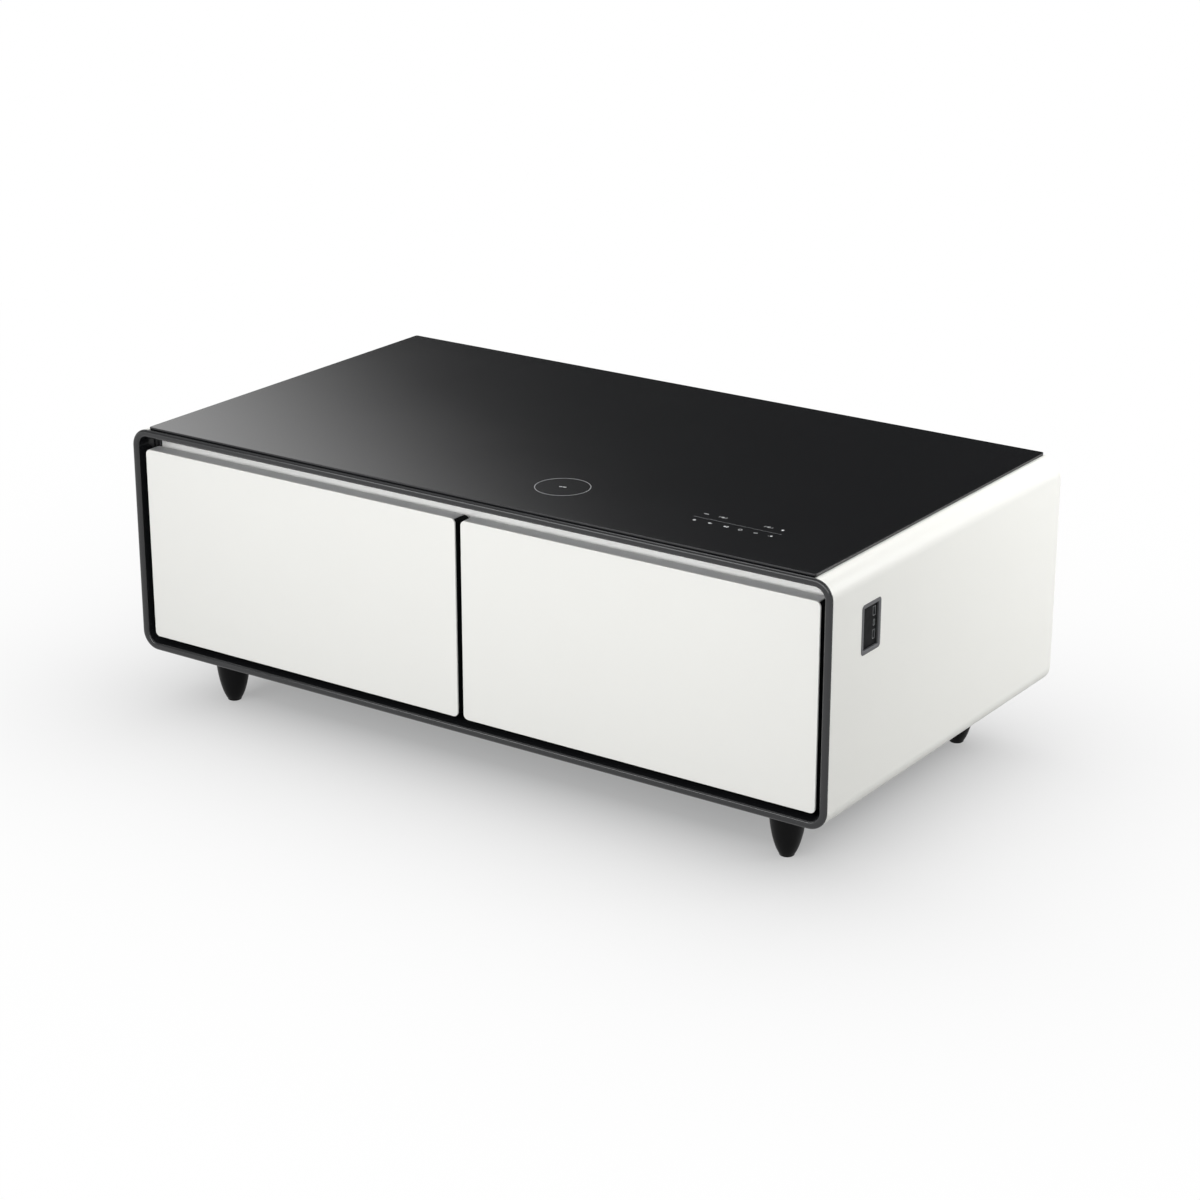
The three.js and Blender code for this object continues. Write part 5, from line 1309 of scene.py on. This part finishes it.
class TABLE_OT_stage(bpy.types.Operator):
    """Makes the studio: a floor with a far wall all round, a soft dome of light, five lamps and the camera"""
    bl_idname = "cold_table.stage"
    bl_label = "Studio"

    def execute(self, context):
        settings = context.scene.cold_table.studio
        self.camera(context, settings)
        self.dome(context, settings)
        self.floor(context, settings)
        for name, row in LAMPS.items():
            self.lamp(context, name, getattr(settings, name), *row)
        context.scene.view_settings.view_transform = "Standard"
        return {"FINISHED"}

    def stand(self, context, data, place, turn):
        """Puts a camera or a lamp at its place, turned by three angles."""
        holder = bpy.data.objects.new(data.name, data)
        holder.location = place
        holder.rotation_euler = turn
        context.scene.collection.objects.link(holder)
        return holder

    def camera(self, context, settings):
        """The camera that took the photo, with its sensor in millimetres."""
        data = bpy.data.cameras.new("photo_camera")
        data.lens = settings.camera_lens
        data.sensor_width = 36
        data.clip_end = 500
        context.scene.camera = self.stand(context, data, settings.camera_place, settings.camera_turn)

    def dome(self, context, settings):
        """Light by direction: a white dome, with a bright panel and a dark curtain for the glass to show.

        The curtain hangs at the back. Its left edge leans, over the compass turn plus a share of the height,
        and there the panel takes over, and fades round to the front. The curtain's right edge runs over the
        turn and its upper one over the height.
        """
        world = bpy.data.worlds.new("Studio")
        world.use_nodes = True
        context.scene.world = world
        tree = world.node_tree
        way = add_node(tree, "ShaderNodeTexCoord").outputs["Generated"]
        split = add_node(tree, "ShaderNodeSeparateXYZ", {"Vector": way}).outputs
        inputs = {0: split["X"], 1: split["Y"]}
        turn = add_node(tree, "ShaderNodeMath", inputs, operation="ARCTAN2").outputs["Value"]
        inputs = {0: split["Z"], 1: radians(CURTAIN_LEAN), 2: turn}
        leaning = add_node(tree, "ShaderNodeMath", inputs, operation="MULTIPLY_ADD").outputs["Value"]
        steps = (
            (leaning, *np.radians(CURTAIN_LEFT), 1.0, 0.0),
            (turn, *np.radians(CURTAIN_RIGHT), 0.0, 1.0),
            (split["Z"], *CURTAIN_TOP, 0.0, 1.0),
            (split["Z"], *DOME_RISE, settings.horizon, settings.dome),
            (turn, *np.radians(PANEL_LEFT), 0.0, settings.panel - settings.horizon),
            (split["Z"], *PANEL_TOP, 1.0, 0.0),
        )
        left, right, upper, dome, panel, low = [
            add_node(
                tree, "ShaderNodeMapRange", zip(RANGE_INPUTS, step), interpolation_type="SMOOTHSTEP"
            ).outputs["Result"] for step in steps
        ]
        clear = left
        for edge in (right, upper):
            inputs = {0: clear, 1: edge}
            clear = add_node(tree, "ShaderNodeMath", inputs, operation="MAXIMUM").outputs["Value"]
        panel = add_node(tree, "ShaderNodeMath", {0: panel, 1: low}, operation="MULTIPLY").outputs["Value"]
        light = settings.curtain
        for share, strength in ((clear, dome), (panel, left)):
            inputs = {0: share, 1: strength, 2: light}
            light = add_node(tree, "ShaderNodeMath", inputs, operation="MULTIPLY_ADD").outputs["Value"]
        tree.links.new(light, tree.nodes["Background"].inputs["Strength"])
        tree.nodes["Background"].inputs["Color"].default_value = (1, 1, 1, 1)

    def floor(self, context, settings):
        """Floor disc out to a far wall: P(r, a) = (r cos a, r sin a, height of r).

        The camera, glossy and transmission rays see a share of plain white in it, 1 - (1 - glow) e^(-d /
        reach), where d is
        the way from a rectangle inside the body's outline, so that the floor is white far off. This white is
        painted light:
        under the body it lightens the body's shadow, and as its share falls towards the body it paints a
        darker halo round the body, on top of the real shadow.
        """
        coat = Coat("Studio floor", tuple(settings.floor), 0.9)
        coat.vary(900, tone=0.002)
        tree = coat.tree
        ray = add_node(tree, "ShaderNodeLightPath").outputs
        seen = ray["Is Camera Ray"]
        for kind in ("Is Glossy Ray", "Is Transmission Ray"):
            seen = add_node(tree, "ShaderNodeMath", {0: seen, 1: ray[kind]}, operation="ADD").outputs["Value"]
        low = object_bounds()[0]
        inner = (abs(low[0]) - GLOW_MARGIN, abs(low[1]) - GLOW_MARGIN, GLOW_HEIGHT)
        away = coat.place
        for operation, inputs in (("ABSOLUTE", {}), ("SUBTRACT", {1: inner}), ("MAXIMUM", {1: (0, 0, 0)})):
            inputs = {0: away, **inputs}
            away = add_node(tree, "ShaderNodeVectorMath", inputs, operation=operation).outputs["Vector"]
        glow = add_node(tree, "ShaderNodeVectorMath", {0: away}, operation="LENGTH").outputs["Value"]
        steps = (
            ("MULTIPLY", {1: -1 / settings.glow_reach}), ("EXPONENT", {}),
            ("MULTIPLY_ADD", {1: settings.floor_glow - 1, 2: 1.0}), ("MULTIPLY", {1: seen}),
        )
        for operation, inputs in steps:
            glow = add_node(tree, "ShaderNodeMath", {0: glow, **inputs}, operation=operation).outputs["Value"]
        # Painted light: plain white emission mixed into the floor. It lightens the body's shadow, and where
        # its share falls near the body it paints a darker halo round it.
        white = add_node(tree, "ShaderNodeEmission", {"Strength": 1.0}).outputs["Emission"]
        parts = {0: glow, 1: coat.shader.outputs["BSDF"], 2: white}
        mixed = add_node(tree, "ShaderNodeMixShader", parts).outputs["Shader"]
        tree.links.new(mixed, tree.nodes["Material Output"].inputs["Surface"])
        points = turned(np.stack([FLOOR_RADII, FLOOR_HEIGHTS - FLOOR_DROP], axis=-1), 0, 0)
        index = np.arange(points[..., 0].size).reshape(points.shape[:2])
        after = np.roll(index, -1, axis=1)
        cells = np.stack([index[:-1], index[1:], after[1:], after[:-1]], axis=-1)
        mesh = bpy.data.meshes.new("studio_floor")
        mesh.from_pydata(points.reshape(-1, 3), [], cells.reshape(-1, 4).tolist())
        mesh.materials.append(coat.material)
        floor = bpy.data.objects.new("studio_floor", mesh)
        context.scene.collection.objects.link(floor)
        floor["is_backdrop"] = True

    def lamp(self, context, name, power, size, place, target):
        """Soft rectangular lamp at a place, turned towards a target."""
        light = bpy.data.lights.new(name, "AREA")
        light.shape = "RECTANGLE"
        light.size, light.size_y = size
        light.energy = power
        turn = (Vector(place) - Vector(target)).to_track_quat("Z", "Y").to_euler()
        self.stand(context, light, place, turn).visible_camera = False


OPERATORS = (
    TABLE_OT_front_frame, TABLE_OT_body_panels, TABLE_OT_glass, TABLE_OT_marks, TABLE_OT_finger_channel,
    TABLE_OT_drawer_fronts, TABLE_OT_drawer_cores, TABLE_OT_handles, TABLE_OT_gaskets, TABLE_OT_bins,
    TABLE_OT_liners, TABLE_OT_legs, TABLE_OT_socket_frame, TABLE_OT_port_shells, TABLE_OT_carried_finishes,
    TABLE_OT_stage,
)


class TABLE_PT_pieces(bpy.types.Panel):
    """Lists the operators of the table."""
    bl_label = "Refrigerator coffee table"
    bl_idname = "TABLE_PT_pieces"
    bl_space_type = "VIEW_3D"
    bl_region_type = "UI"
    bl_category = "Table"

    def draw(self, context):
        for operator in OPERATORS:
            self.layout.operator(operator.bl_idname)


GROUPS = (
    FrameSizes, PanelSizes, GlassSizes, DrawerSizes, InnerSizes, Finishes, StudioSettings, TableSettings,
)
CLASSES = GROUPS + OPERATORS + (TABLE_PT_pieces,)


def register():
    """Registers the classes and hangs the settings on the scene."""
    for kind in CLASSES:
        bpy.utils.register_class(kind)
    bpy.types.Scene.cold_table = PointerProperty(type=TableSettings)


def unregister():
    """Takes the settings off the scene and unregisters the classes."""
    del bpy.types.Scene.cold_table
    for kind in reversed(CLASSES):
        bpy.utils.unregister_class(kind)


def main():
    """Registers the classes and makes every piece in order."""
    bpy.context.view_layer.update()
    register()
    for operator in OPERATORS:
        group, name = operator.bl_idname.split(".")
        getattr(getattr(bpy.ops, group), name)()


if __name__ == "__main__":
    main()
